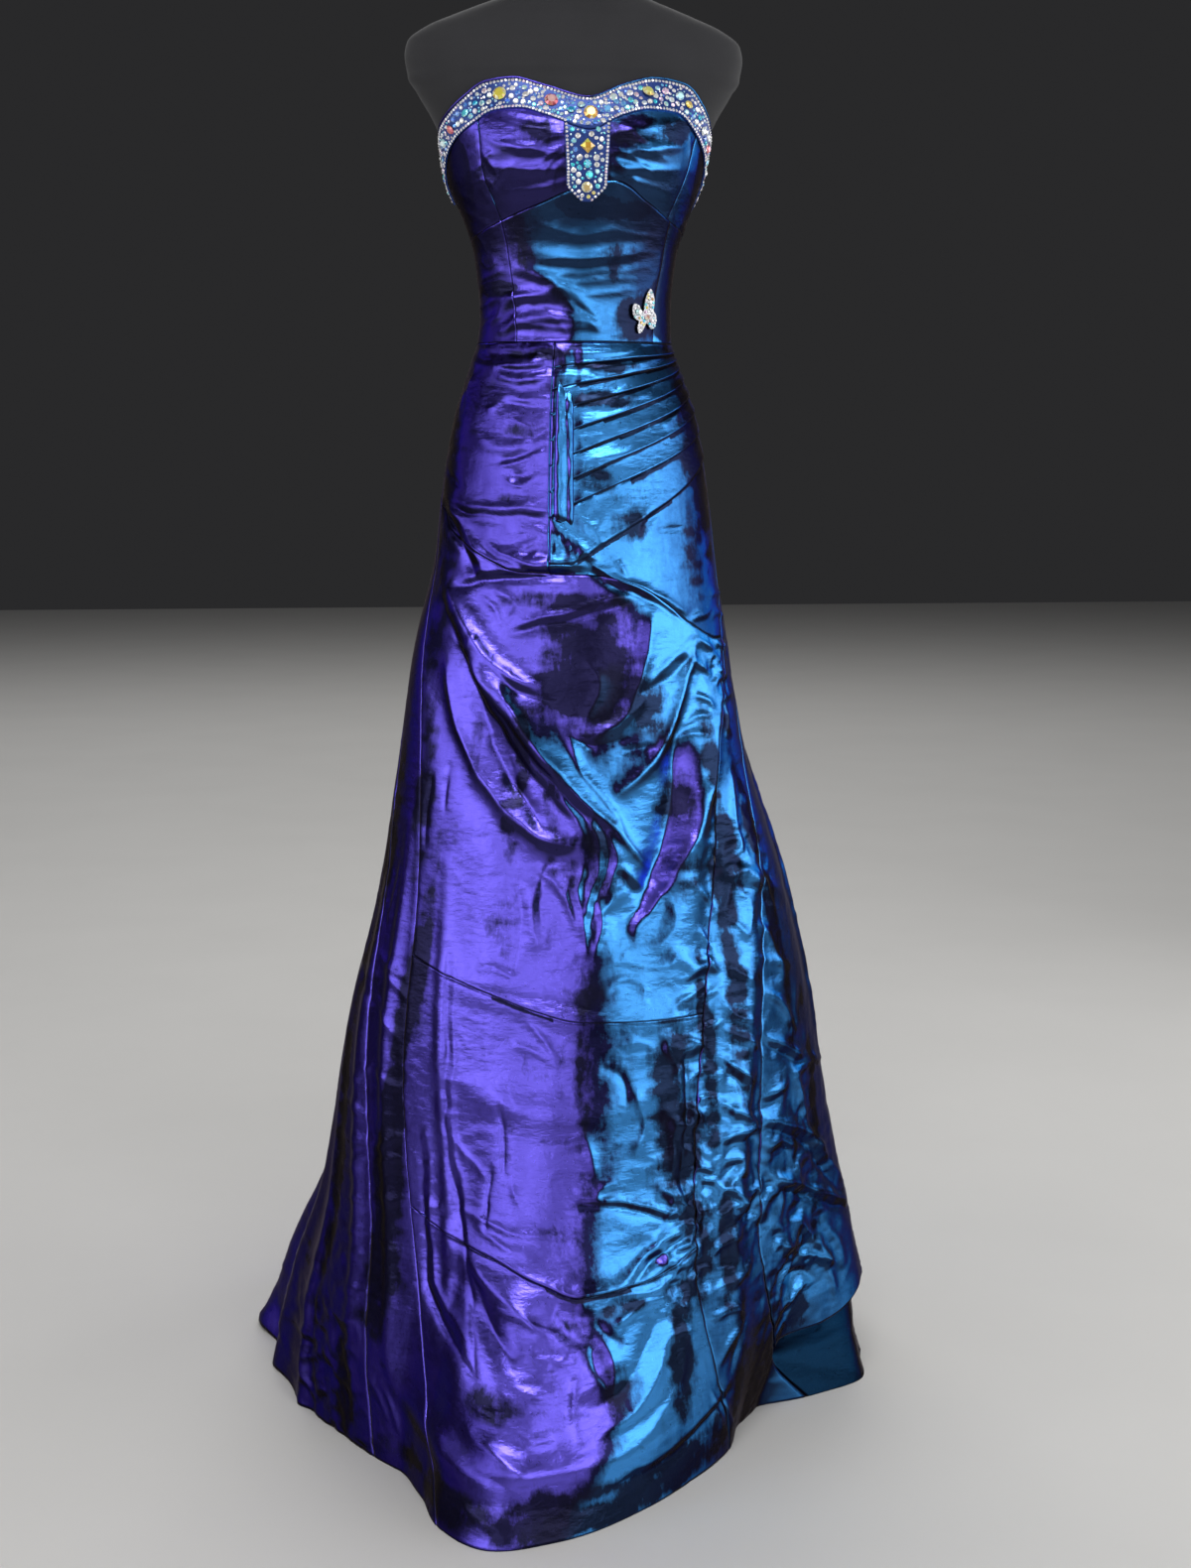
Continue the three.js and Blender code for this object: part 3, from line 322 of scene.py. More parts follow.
creases["hips"] = [
    (2.2, 5, -74.5, 1205, -15, 1205, 33, 1208), (-1.5, 3, -15, 1192, 9.5, 1195, 51.5, 1210),
    (2, 5, -17, 1200, 9.5, 1200, 45, 1205), (1.6, 5, -13, 1188, 26.5, 1188, 56, 1198),
    (-1.6, 4, -13, 1182, 17, 1178, 52.5, 1188), (-1.8, 4, -79, 1195, -48, 1192, -25, 1200),
    (2, 5, -58, 1185, -34.5, 1188, -19.5, 1185), (-1.8, 5, -47, 1182, -30.5, 1180, -19.5, 1182),
    (1.6, 5, -49.5, 1175, -33, 1172, -19.5, 1175), (-2, 5, -41.5, 1145, -32.5, 1145, -23, 1142),
    (1.4, 4, -51, 1140, -46, 1142, -42, 1148), (-1.8, 6, -38, 1110, -26.5, 1108, -17, 1120),
    (2.2, 4, -39.5, 1078, -27, 1088, -17.5, 1098), (-2.2, 5, -38.5, 1085, -28, 1090, -17.5, 1102),
    (1.6, 3, -35, 1065, -28, 1058, -21, 1068), (-2.4, 9, -32.5, 1070, -28, 1070, -24, 1072),
    (1.2, 4, -32.5, 1128, -24.5, 1122, -17.5, 1128), (-1.6, 4, -81, 1075, -71.5, 1065, -64, 1055),
    (1.4, 5, -73, 1185, -74, 1170, -73.5, 1155), (1.3, 4, -77, 1162, -79, 1152, -77.5, 1142),
    (-3.2, 5, -80.5, 1040, -52.5, 1028, -20, 1025), (2.4, 7, -78, 1048, -51, 1035, -18.5, 1035),
    (1.6, 4, -27, 990, -23, 995, -19.5, 1002), (1.8, 3, -15.5, 998, -15.5, 988, -15.5, 982),
    (1.4, 3, -20, 995, -20, 988, -22, 982), (1.4, 3, -11.5, 998, -12, 988, -13.5, 982),
    (2.4, 6, -43, 998, -29.5, 982, -15.5, 968), (-2.2, 4, -44, 990, -30, 978, -16.5, 962),
    (-1.4, 3, 31, 1010, 38, 1010, 46.5, 1010), (1.5, 6, 16, 1158, 26.5, 1152, 37, 1162),
    (-1.6, 6, 1, 1158, 8.5, 1155, 18.5, 1162), (-1.4, 5, 3.5, 1140, 12.5, 1138, 21.5, 1145),
    (-1.6, 6, -0.5, 1098, 7.5, 1102, 15, 1110), (-1.6, 6, 1, 1072, 7, 1080, 13, 1080),
    (1.4, 5, -2, 1080, 9, 1088, 23, 1095), (-1.8, 8, 4, 1042, 10.5, 1048, 16, 1048),
    (1.8, 6, 20.5, 1000, 23, 1020, 31, 1040), (-1.6, 5, 23, 1008, 26.5, 1020, 32.5, 1030),
    (1.6, 5, 40.5, 1122, 46.5, 1128, 56, 1142), (1.2, 4, 3.5, 1010, 6, 1018, 8.5, 1028),
]
creases["front"] = [
    (-4.5, 6, -82, 1038, -61.5, 1005, -46, 960), (3, 7, -71.5, 1040, -55, 1008, -41.5, 962),
    (-4, 5, -57.5, 950, -36.5, 958, -2.5, 968), (3.6, 7, -52, 962, -28, 970, -2.5, 975),
    (4, 5, -14.5, 1020, -8, 1002, 3, 982), (-3, 4, -15, 1015, -8.5, 998, 1, 975),
    (2.2, 4, -3, 1025, 3, 1010, 8, 995), (4, 5, 2, 975, 11, 960, 22, 950, 42.5, 922),
    (-3.4, 5, 1, 968, 11, 952, 21.5, 942, 40.5, 912), (1.8, 4, 12, 980, 14, 972, 16, 962),
    (3.4, 5, -26, 912, -7.5, 925, 16, 942), (-3, 6, -25.5, 905, -7.5, 915, 19, 935),
    (-5.5, 9, -64.5, 932, -49.5, 890, -39, 835, -24, 768, -7, 705),
    (4.5, 10, -60.5, 945, -42.5, 895, -30.5, 860, -15, 842),
    (-3, 5, -38, 875, -26, 845, -13.5, 830), (6, 10, -42.5, 875, -29.5, 825, -13.5, 760, -2, 685),
    (6, 11, -53.5, 860, -43, 785, -28, 720, -14.5, 685, -4.5, 675),
    (-5.5, 9, -36, 812, -27.5, 758, -15, 695),
    (4.5, 5, -30, 840, -21.5, 800, -7, 742, 9.5, 682, 16, 652),
    (-3.5, 5, -32, 832, -23.5, 792, -9.5, 735, 6.5, 678),
    (3, 5, -7, 792, -2, 750, 5.5, 720, 9.5, 688), (-3, 4, -7, 792, 1.5, 782, 12, 788),
    (-2.6, 4, 9.5, 775, 17.5, 778, 25, 782), (2.4, 6, 0, 872, 4, 848, -1.5, 802),
    (4.5, 9, 26, 920, 21, 870, 12, 812, -1.5, 790), (5, 8, 46.5, 895, 26, 782, 8.5, 730),
    (5, 8, 59.5, 840, 44, 750, 31, 672, 11.5, 588),
    (-5.5, 12, 33, 798, 28.5, 725, 21.5, 670, 9, 588),
    (3.2, 5, -0.5, 708, 2.5, 672, 0.5, 630, -3, 590),
    (-2.6, 4, 1.5, 705, 4.5, 670, 2.5, 628, -1.5, 590), (2.8, 4, 4.5, 690, 7, 658, 4, 625),
    (2.4, 4, -6, 645, -7, 618, -5, 592), (2.2, 4, -2.5, 655, -3.5, 620, -2, 562),
    (2.2, 3, 1, 620, 2.5, 600, 0.5, 562), (2.4, 4, 8, 655, 10.5, 642, 14.5, 632),
    (-2.2, 4, 7, 645, 9.5, 632, 13, 622), (-2.4, 5, -10, 660, -14.5, 642, -13.5, 595),
    (2.4, 7, -14.5, 652, -17, 615, -15, 562), (-2, 6, -22, 645, -19.5, 592, -21.5, 540),
    (2.2, 5, 40, 885, 30.5, 868, 22.5, 845), (-2.4, 5, 41.5, 875, 33, 855, 16.5, 835),
    (2.6, 5, 20.5, 835, 16.5, 820, 10, 810), (2.4, 4, 45.5, 912, 52, 918, 61.5, 925),
    (2.4, 4, 46, 890, 51, 885, 56, 878), (2.6, 4, 42.5, 870, 49, 860, 53.5, 850),
    (2.4, 4, 42.5, 832, 47.5, 825, 50.5, 812), (2, 4, 36, 800, 42, 808, 48.5, 805),
    (2.2, 4, 32.5, 785, 39, 790, 46, 785), (-1.6, 4, -56, 745, -57, 708, -56, 670),
    (-1.6, 4, -49, 762, -49, 738, -49, 708),
    (-2, 4, -41, 558, -37.5, 462, -36, 360, -29.5, 258, -23, 145),
    (1.5, 5, -39, 558, -36, 465, -34, 360, -28, 260), (-2, 3, -22, 400, -21.5, 368, -21, 335),
    (-2.2, 3, -24, 338, -24.5, 305, -24, 275), (1.5, 4, -19, 325, -18, 315, -17, 305),
    (-3, 5, -44.5, 362, -43, 295, -40, 205, -28.5, 160, -23.5, 142),
    (2.6, 7, -42, 365, -40.5, 298, -37, 212, -27, 175), (3, 9, -27, 245, -17.5, 210, -7.5, 170),
    (1.6, 4, -21, 208, -13, 192, -7, 178), (1.6, 4, -31, 292, -21.5, 282, -9, 275),
    (1.5, 4, -26, 278, -20, 265, -15, 260), (1.4, 4, -34, 360, -29.5, 345, -25, 325),
    (1.5, 4, -17, 490, -13, 472, -9, 452), (1.3, 4, -20.5, 468, -14, 458, -9, 445),
    (2, 6, -4, 380, -2, 358, -0.5, 335), (2.2, 4, -42, 288, -38.5, 288, -35.5, 292),
    (3.5, 11, -24, 100, -18.5, 82, -13, 58), (-3.5, 12, -24, 72, -15.5, 52, -9, 52, -1.5, 52),
    (1.5, 4, -22, 118, -19, 118, -16.5, 120), (-1.8, 3, -5.5, 145, -6, 115, -5.5, 88),
    (1.6, 5, -23, 32, -19.5, 25, -16.5, 15), (1.5, 5, -4.5, 35, 1, 30, 7.5, 32),
    (3, 5, 3, 220, 12.5, 255, 18, 262), (-3, 4, 3.5, 212, 13, 245, 18.5, 250),
    (2.6, 4, 4, 212, 11, 210, 18, 230), (3, 6, 2, 185, 8, 198, 17, 200),
    (-2.4, 4, -4.5, 302, 3, 298, 19, 270), (2.4, 4, -4.5, 310, 3, 305, 12, 292, 19.5, 278),
    (-3, 4, 19, 480, 22, 432, 19, 325, 20.5, 290), (3, 7, 17, 465, 19.5, 422, 16.5, 338, 18, 295),
    (2, 4, -1, 310, 0.5, 320, 3.5, 325), (1.8, 4, 14, 278, 16, 285, 19.5, 288),
    (-2, 5, -1.5, 192, 0.5, 175, 4, 162), (3, 10, 15, 178, 7.5, 110, -5, 82),
    (-3.5, 12, 11.5, 188, 4.5, 130, -6, 105), (2.5, 9, 17.5, 158, 14.5, 105, 5, 72),
    (3, 8, 32.5, 95, 26, 72, 12.5, 50, -6, 38), (-3.2, 9, 33, 75, 24, 58, 12, 38, -4.5, 28),
    (2, 5, -1, 172, 1.5, 150, 1, 122), (-1.8, 4, -2.5, 168, -2, 148, 0, 128),
    (1.8, 5, -12.5, 162, -9, 158, -5.5, 160), (1.5, 4, -16, 140, -12, 130, -9, 132),
    (1.5, 5, -15, 100, -12, 92, -9, 95), (-1.5, 5, -26, 228, -22, 195, -17, 165),
    (1.8, 5, -9, 198, -6.5, 185, -2, 182), (2.2, 5, -9, 218, -6.5, 212, -3.5, 208),
    (2, 4, -16, 648, -10, 635, -7.5, 620), (1.6, 5, -31.5, 540, -26, 545, -20, 535),
    (1.4, 5, 2.5, 460, 9.5, 468, 15, 455), (-1.5, 5, 1, 442, 5.5, 432, 6.5, 405),
    (1.5, 5, 8.5, 415, 10.5, 382, 8, 352), (2, 4, -54, 898, -45, 882, -41.5, 898),
    (1.8, 4, -36, 948, -29, 938, -30, 920), (1.6, 4, -40.5, 938, -35, 930, -32, 912),
]
creases["ruche"] = [
    (3.2, 4, 19.5, 505, 25, 515, 29, 520), (3, 4, 22.5, 530, 27, 540, 31, 542),
    (2.6, 4, 25, 505, 28.5, 508, 32, 512), (3, 4, 22, 468, 24.5, 460, 27.5, 450),
    (2.8, 4, 24.5, 472, 28, 475, 31.5, 480), (2.6, 4, 22, 420, 25, 428, 28, 430),
    (3, 4, 20, 400, 23, 388, 26, 370), (2.4, 4, 24.5, 398, 26.5, 402, 29.5, 400),
    (2.8, 4, 19, 358, 21.5, 345, 24.5, 332), (2.4, 4, 21, 325, 24, 328, 27, 320),
    (3.2, 4, 18, 295, 21, 288, 23.5, 272), (3.2, 4, 16.5, 270, 20, 270, 23.5, 260),
    (2.8, 4, 15.5, 242, 19, 248, 22.5, 238), (2.6, 4, 14, 215, 17.5, 218, 20.5, 208),
    (2.8, 4, 12.5, 192, 16, 192, 19, 180), (2.6, 4, 29.5, 578, 31.5, 568, 33.5, 550),
    (2.2, 4, 29.5, 620, 33, 612, 36, 600), (2.4, 4, 28.5, 555, 31, 548, 32.5, 532),
    (2.2, 4, 14, 160, 17, 162, 19.5, 155), (2, 4, 23, 308, 25.5, 290, 26.5, 275),
]
creases["sideLeft"] = [
    (3.4, 6, 32, 442, 37, 422, 39, 410), (-2.4, 5, 32, 428, 35.5, 410, 37.5, 395),
    (3.2, 6, 29.5, 395, 34, 382, 40.5, 365), (3, 5, 29.5, 352, 35, 358, 41.5, 365),
    (-2.4, 5, 31, 348, 37, 350, 42, 352), (2.8, 5, 25.5, 310, 30, 300, 34.5, 288),
    (3, 6, 28, 270, 34, 280, 41.5, 285), (-2.2, 5, 29, 255, 35.5, 262, 42, 265),
    (2.6, 5, 26, 232, 29, 242, 34.5, 242), (2.8, 6, 27.5, 192, 33.5, 198, 40.5, 210),
    (2.4, 5, 24.5, 165, 29.5, 168, 36, 165), (2.4, 6, 27, 110, 32, 135, 37, 150),
    (-2.2, 5, 32, 95, 35.5, 122, 39, 148), (2.6, 5, 33.5, 500, 36.5, 485, 42, 472),
    (2.4, 5, 34.5, 468, 38, 458, 42.5, 445), (2.2, 5, 35.5, 538, 39, 530, 43, 518),
    (2.2, 5, 40, 588, 43, 575, 45, 565), (2.2, 4, 61, 938, 67.5, 940, 77.5, 938),
    (2, 4, 60.5, 915, 66.5, 920, 77.5, 912), (2.2, 4, 59, 888, 64, 882, 73, 880),
    (2, 4, 57.5, 860, 62.5, 852, 68, 850), (2, 4, 61, 828, 61, 805, 59, 785),
    (2, 5, 41, 638, 45, 642, 49, 632), (2.4, 5, 56.5, 740, 52.5, 698, 50, 655),
    (2.2, 5, 25, 90, 28, 62, 31, 35), (2, 5, 30, 82, 32.5, 55, 36.5, 25),
]
creases["sidePanel"] = [
    (2.6, 5, 45, 458, 59, 430, 70, 415), (-2, 5, 45, 450, 58.5, 420, 68, 408),
    (2.2, 5, 58.5, 402, 69, 408, 88.5, 398), (3, 6, 45, 362, 68, 328, 90, 242),
    (-2.8, 6, 45, 352, 65, 320, 85, 240), (3.6, 6, 45, 305, 69, 262, 90.5, 220),
    (-3, 6, 46, 290, 69.5, 250, 90.5, 208), (2.4, 6, 51.5, 235, 66.5, 222, 80, 155),
    (2.2, 5, 63, 195, 73.5, 175, 81, 158), (2, 5, 72, 210, 78, 165, 81.5, 112),
    (2.6, 5, 46, 388, 50.5, 392, 55.5, 398), (2.2, 5, 48, 502, 55, 488, 62, 448),
    (2, 5, 49.5, 578, 55.5, 558, 59.5, 512), (1.8, 5, 53, 632, 58, 618, 61.5, 582),
    (2.2, 6, 60, 405, 63.5, 368, 67.5, 330), (2, 5, 49.5, 222, 58, 205, 68, 200),
    (-2, 6, 61, 162, 69.5, 162, 74.5, 145), (2.4, 6, 60, 118, 68.5, 142, 71.5, 162),
    (2, 5, 45, 328, 51.5, 332, 60, 322), (1.8, 6, 77, 212, 82, 182, 84, 142),
    (1.8, 5, 47, 645, 51.5, 628, 53.5, 610), (1.6, 5, 46, 542, 53.5, 535, 64.5, 520),
]
creases["rightPanels"] = [
    (2.2, 5, -74, 395, -68.5, 415, -64, 430), (2.4, 6, -82, 375, -72, 370, -63.5, 360),
    (2, 5, -83, 330, -71, 335, -62.5, 340), (1.8, 5, -81.5, 298, -72, 305, -62.5, 308),
    (1.8, 5, -81.5, 262, -71.5, 268, -63, 270), (1.8, 5, -80, 225, -70.5, 232, -62.5, 240),
    (2, 5, -78, 188, -70.5, 208, -62, 212), (2, 5, -75.5, 158, -69.5, 170, -61, 178),
    (2.2, 6, -73.5, 138, -66.5, 138, -59.5, 148), (-2, 6, -95, 525, -78.5, 505, -69, 490),
    (1.8, 4, -71, 542, -62.5, 532, -54.5, 525), (2, 4, -66, 530, -59.5, 518, -53, 500),
    (1.8, 5, -66, 490, -59, 472, -53, 455), (1.6, 5, -62, 418, -56.5, 410, -51.5, 402),
    (1.8, 4, -61, 332, -54.5, 348, -49, 355), (1.5, 4, -60, 318, -53.5, 328, -48.5, 332),
    (1.5, 4, -59, 288, -54, 282, -49, 290), (1.5, 5, -57, 235, -52, 228, -48, 235),
    (1.5, 5, -59.5, 92, -54.5, 78, -50.5, 50), (1.5, 5, -53.5, 88, -49.5, 72, -46.5, 45),
    (1.8, 5, -68, 642, -69.5, 610, -70, 578), (1.8, 4, -85.5, 725, -82, 682, -80, 638),
    (2, 5, -95.5, 80, -88.5, 85, -77, 98), (2, 5, -93, 40, -83.5, 72, -71.5, 90),
    (2.2, 5, -94, 10, -85, 42, -69.5, 68), (2, 5, -85.5, 18, -77, 42, -67.5, 55),
    (1.8, 5, -81, 10, -74, 30, -67, 35), (2, 5, -102.5, 32, -99.5, 78, -92, 128),
    (1.5, 5, -68, 10, -58.5, 15, -49, 20),
]
# Similar creases on the sides that the front doesn't show, scattered with a fixed seed:
# how many, turns, heights, length down, drift in turn, rise, spread
hiddenCreases = [
    (16, (-178, -100), (60, 900), (160, 420), 7, (1.5, 4.5), (7, 15)),
    (14, (92, 178), (130, 860), (150, 400), 7, (1.5, 4.5), (7, 15)),
    (16, (-178, -100), (40, 1000), (6, 40), 9, (1, 2.4), (4, 7)),
    (16, (86, 178), (130, 1000), (6, 40), 9, (1, 2.4), (4, 7)),
    (10, (-175, -100), (1120, 1200), (40, 150), 3, (1, 2.2), (5, 8)),
    (10, (100, 175), (1120, 1200), (40, 150), 3, (1, 2.2), (5, 8)),
    (12, (-172, -98), (1225, 1330), (3, 12), 14, (0.5, 1.1), (4, 6)),
    (12, (98, 172), (1225, 1330), (3, 12), 14, (0.5, 1.1), (4, 6)),
]
# A crease that rises and spreads by "deep" or more takes the second strength
creasing = {
    "strengths": (1.1, 1.6), "deep": (4, 8), "sharpness": 1.35, "wander": 2.2, "uneven": 0.3,
    "raisedShare": 0.7, "lowest": 4,
}
crumpling = {"everywhere": 0.16, "wander": 9, "large": 1.7, "small": 0.55}
# Where the cloth is crumpled most: turn, height, reach in millimetres, amount
crumpleSpots = [
    (24, 500, 60, 0.5), (21, 380, 45, 0.5), (19, 280, 50, 0.8), (17, 220, 35, 0.9),
    (4, 600, 50, 0.7), (-14, 995, 40, 1.1), (-22, 1190, 40, 0.8), (34, 320, 60, 0.8),
    (52, 300, 110, 0.9), (62, 170, 70, 0.9), (-8, 160, 50, 0.4), (45, 640, 50, 1.0),
    (60, 860, 40, 1.2), (-42, 1405, 35, 0.7), (-52, 1240, 40, 0.6), (-66, 330, 70, 0.6),
    (-76, 80, 90, 1.2), (-90, 60, 90, 1.0),
]


def smoothPath(places, steps=4):  # a curve through every place
    p = np.array([places[0], *places, places[-1]], float)
    out = []
    for i in range(1, len(p) - 2):
        s = np.linspace(0, 1, steps, endpoint=False)[:, None]
        a, b, c, d = p[i - 1:i + 3]
        out.append(0.5 * (2 * b + (c - a) * s + (2 * a - 5 * b + 4 * c - d) * s * s
                          + (3 * b - a - 3 * c + d) * s ** 3))
    return np.vstack([*out, p[-1:]])


def scatteredCreases():
    dice = np.random.default_rng(21)
    made = []
    for count, turns, heights, downs, drift, rises, spreads in hiddenCreases:
        for _ in range(count):
            turn, height = dice.uniform(*turns), dice.uniform(*heights)
            (first, second), down = dice.uniform(-1, 1, 2) * drift, dice.uniform(*downs)
            rise = dice.uniform(*rises) * (1 if dice.uniform() < creasing["raisedShare"] else -1)
            places = [(turn, height), (turn + first, height - down / 2),
                      (turn + first + second, height - down)]
            places = [value for t, h in places for value in (t, max(creasing["lowest"], h))]
            made.append((rise, dice.uniform(*spreads), *places))
    return made


allCreases = [row for group in creases.values() for row in group] + scatteredCreases()


def creaseRelief(turn, height):
    degree = degreesPerMm(height)
    across = turn / degree
    t = turn + creasing["wander"] * degree * cloud(across / 23, height / 19, 3)
    h = height + creasing["wander"] * cloud(across / 21, height / 24, 4)
    out = np.zeros(turn.shape)
    for rise, spread, *places in allCreases:
        path = smoothPath(np.reshape(places, (-1, 2)))
        near, distance, share = nearStroke(t, h, degree, path, 2.6 * spread)
        if near is None or not near.any():
            continue
        deep = abs(rise) >= creasing["deep"][0] and spread >= creasing["deep"][1]
        taper = np.clip(np.sin(np.pi * (0.04 + 0.92 * share)), 0, 1) ** 0.6
        ownSeed = np.full(share.shape, rise * 7 + spread)
        uneven = 1 + creasing["uneven"] * cloud(share * 5, ownSeed, 5)
        profile = np.exp(-(distance / spread) ** creasing["sharpness"])
        out[near] += creasing["strengths"][deep] * rise * taper * uneven * profile
    return out


def crumpleRelief(turn, height):
    x = turn / degreesPerMm(height)
    amount = np.full(turn.shape, crumpling["everywhere"])
    for spotTurn, spotHeight, reach, strength in crumpleSpots:
        away = np.hypot((turn - spotTurn) / degreesPerMm(height), height - spotHeight)
        amount += strength * np.exp(-(away / reach) ** 2)
    wander = crumpling["wander"]
    x, y = (x + wander * cloud(x / 31, height / 27, 6),
            height + wander * cloud(x / 29, height / 33, 7))
    large = 1 - 2 * np.abs(cloud(x / 30, y / 20, 8))
    small = 1 - 2 * np.abs(cloud(x / 13, y / 9, 9))
    return amount * (crumpling["large"] * large + crumpling["small"] * small)


def newObject(name, vertices, faces, material, smooth=True):
    mesh = bpy.data.meshes.new(name)
    mesh.from_pydata((np.asarray(vertices) / 1000).tolist(), [], faces)
    if smooth:
        mesh.shade_smooth()
    mesh.materials.append(material)
    obj = bpy.data.objects.new(name, mesh)
    bpy.context.scene.collection.objects.link(obj)
    return obj


# A closed thin shell: a fine outer face, an inner face with every second point, and a rim
def shellObject(name, outer, thickness, material, floorAt=None):
    rows, cols = outer.shape[0] - 1, outer.shape[1] - 1
    inner = (outer - gridNormals(outer) * thickness)[::2, ::2]
    if floorAt is not None:
        outer[..., 2] = np.maximum(outer[..., 2], floorAt)
        inner[..., 2] = np.maximum(inner[..., 2], floorAt)
    innerCols = cols // 2
    base = (rows + 1) * (cols + 1)

    def quads(rowCount, colCount, start):
        j, i = np.divmod(np.arange(rowCount * colCount), colCount)
        a = start + j * (colCount + 1) + i
        return np.stack([a, a + colCount + 1, a + colCount + 2, a + 1], 1)
    faces = quads(rows, cols, 0).tolist() + quads(rows // 2, innerCols, base)[:, ::-1].tolist()
    outAt = lambda j, i: j * (cols + 1) + i
    inAt = lambda j, i: base + (j // 2) * (innerCols + 1) + i // 2
    rim = []
    for i in range(0, cols, 2):
        rim.append([*[outAt(0, i + k) for k in (0, 1, 2)], inAt(0, i + 2), inAt(0, i)])
        rim.append([*[outAt(rows, i + k) for k in (2, 1, 0)], inAt(rows, i), inAt(rows, i + 2)])
    for j in range(0, rows, 2):
        rim.append([*[outAt(j + k, 0) for k in (2, 1, 0)], inAt(j, 0), inAt(j + 2, 0)])
        rim.append([*[outAt(j + k, cols) for k in (0, 1, 2)], inAt(j + 2, cols), inAt(j, cols)])
    obj = newObject(name, np.vstack([outer.reshape(-1, 3), inner.reshape(-1, 3)]),
                    faces + rim, material)
    obj.data.update()
    isRim = np.zeros(len(obj.data.polygons), bool)
    isRim[len(faces):] = True
    sharp = obj.data.attributes.new("sharp_face", "BOOLEAN", "FACE")
    sharp.data.foreach_set("value", isRim)
    return obj


def fasten(piece, slot, *nodes):  # to the one rigid body, in place of the solids it stands for
    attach(piece, "root")
    if nodes:
        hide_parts(*nodes)


# Materials: each comes with functions that add nodes to it and fill in its shader
def newMaterial(name):
    material = bpy.data.materials.new(name)
    material.use_nodes = True
    tree = material.node_tree
    place = tree.nodes.new("ShaderNodeTexCoord")

    def fill(node, values, links):
        for key, value in (values or {}).items():
            if key in node.inputs:
                node.inputs[key].default_value = value
            else:
                setattr(node, key, value)
        for key, source in links.items():
            tree.links.new(source, node.inputs[key.replace("_", " ")])
        return node

    def add(kind, values=None, **links):
        return fill(tree.nodes.new(kind), values, links)

    def noise(scale, detail, stretch=None, roughness=0.5, output="Fac"):
        source = place.outputs["Object"]
        if stretch:
            source = add("ShaderNodeMapping", {"Scale": stretch}, Vector=source).outputs[0]
        values = {"Scale": scale, "Detail": detail, "Roughness": roughness}
        return add("ShaderNodeTexNoise", values, Vector=source).outputs[output]

    def ranged(source, low, high):  # a noise spread from low to high
        return add("ShaderNodeMapRange", {"To Min": low, "To Max": high}, Value=source).outputs[0]

    def toned(source, dark, light):  # a noise as colours from dark to light
        tones = add("ShaderNodeValToRGB", Fac=source)
        for stop, colour in zip(tones.color_ramp.elements, (dark, light)):
            stop.color = (*colour, 1)
        return tones.outputs["Color"]

    def shade(values, **links):
        fill(tree.nodes["Principled BSDF"], values, links)
    return SimpleNamespace(material=material, tree=tree, place=place, add=add, noise=noise,
                           ranged=ranged, toned=toned, shade=shade)


# Colours of the cloth as it turns, with painted shade in a dark band where violet turns to blue and
# in darker tones as it faces far to either side, and a painted shade colour for given places and
# undersides; its gloss, and depths of its relief in metres
shotTaffeta = {
    "violet": (0.160, 0.120, 0.800), "violetShade": (0.030, 0.020, 0.170),
    "blue": (0.070, 0.360, 0.900), "blueShade": (0.018, 0.070, 0.220),
    "between": (0.014, 0.014, 0.065), "paintedShade": (0.014, 0.014, 0.036),
    "turnOver": 0.04, "fade": 0.095, "darkHalf": 0.015, "drift": 0.08, "mottle": 0.12,
    "streaks": 0.24, "roughness": (0.22, 0.38), "edge": (0.14, 0.13, 0.19),
    "sheen": (0.5, 0.4, 0.36), "grain": 0.00020, "slubs": 0.00008, "threads": 0.00004,
    "crinkle": 0.0006, "underLayer": 0.16, "facing": (-0.78, 1.22), "fullViolet": 0.25,
    "fullBlue": 0.8, "paintedShadeRange": (0.85, 1.25, 0.95), "paintedShadeFacingDown": (0.02, -0.2, 0.9),
}
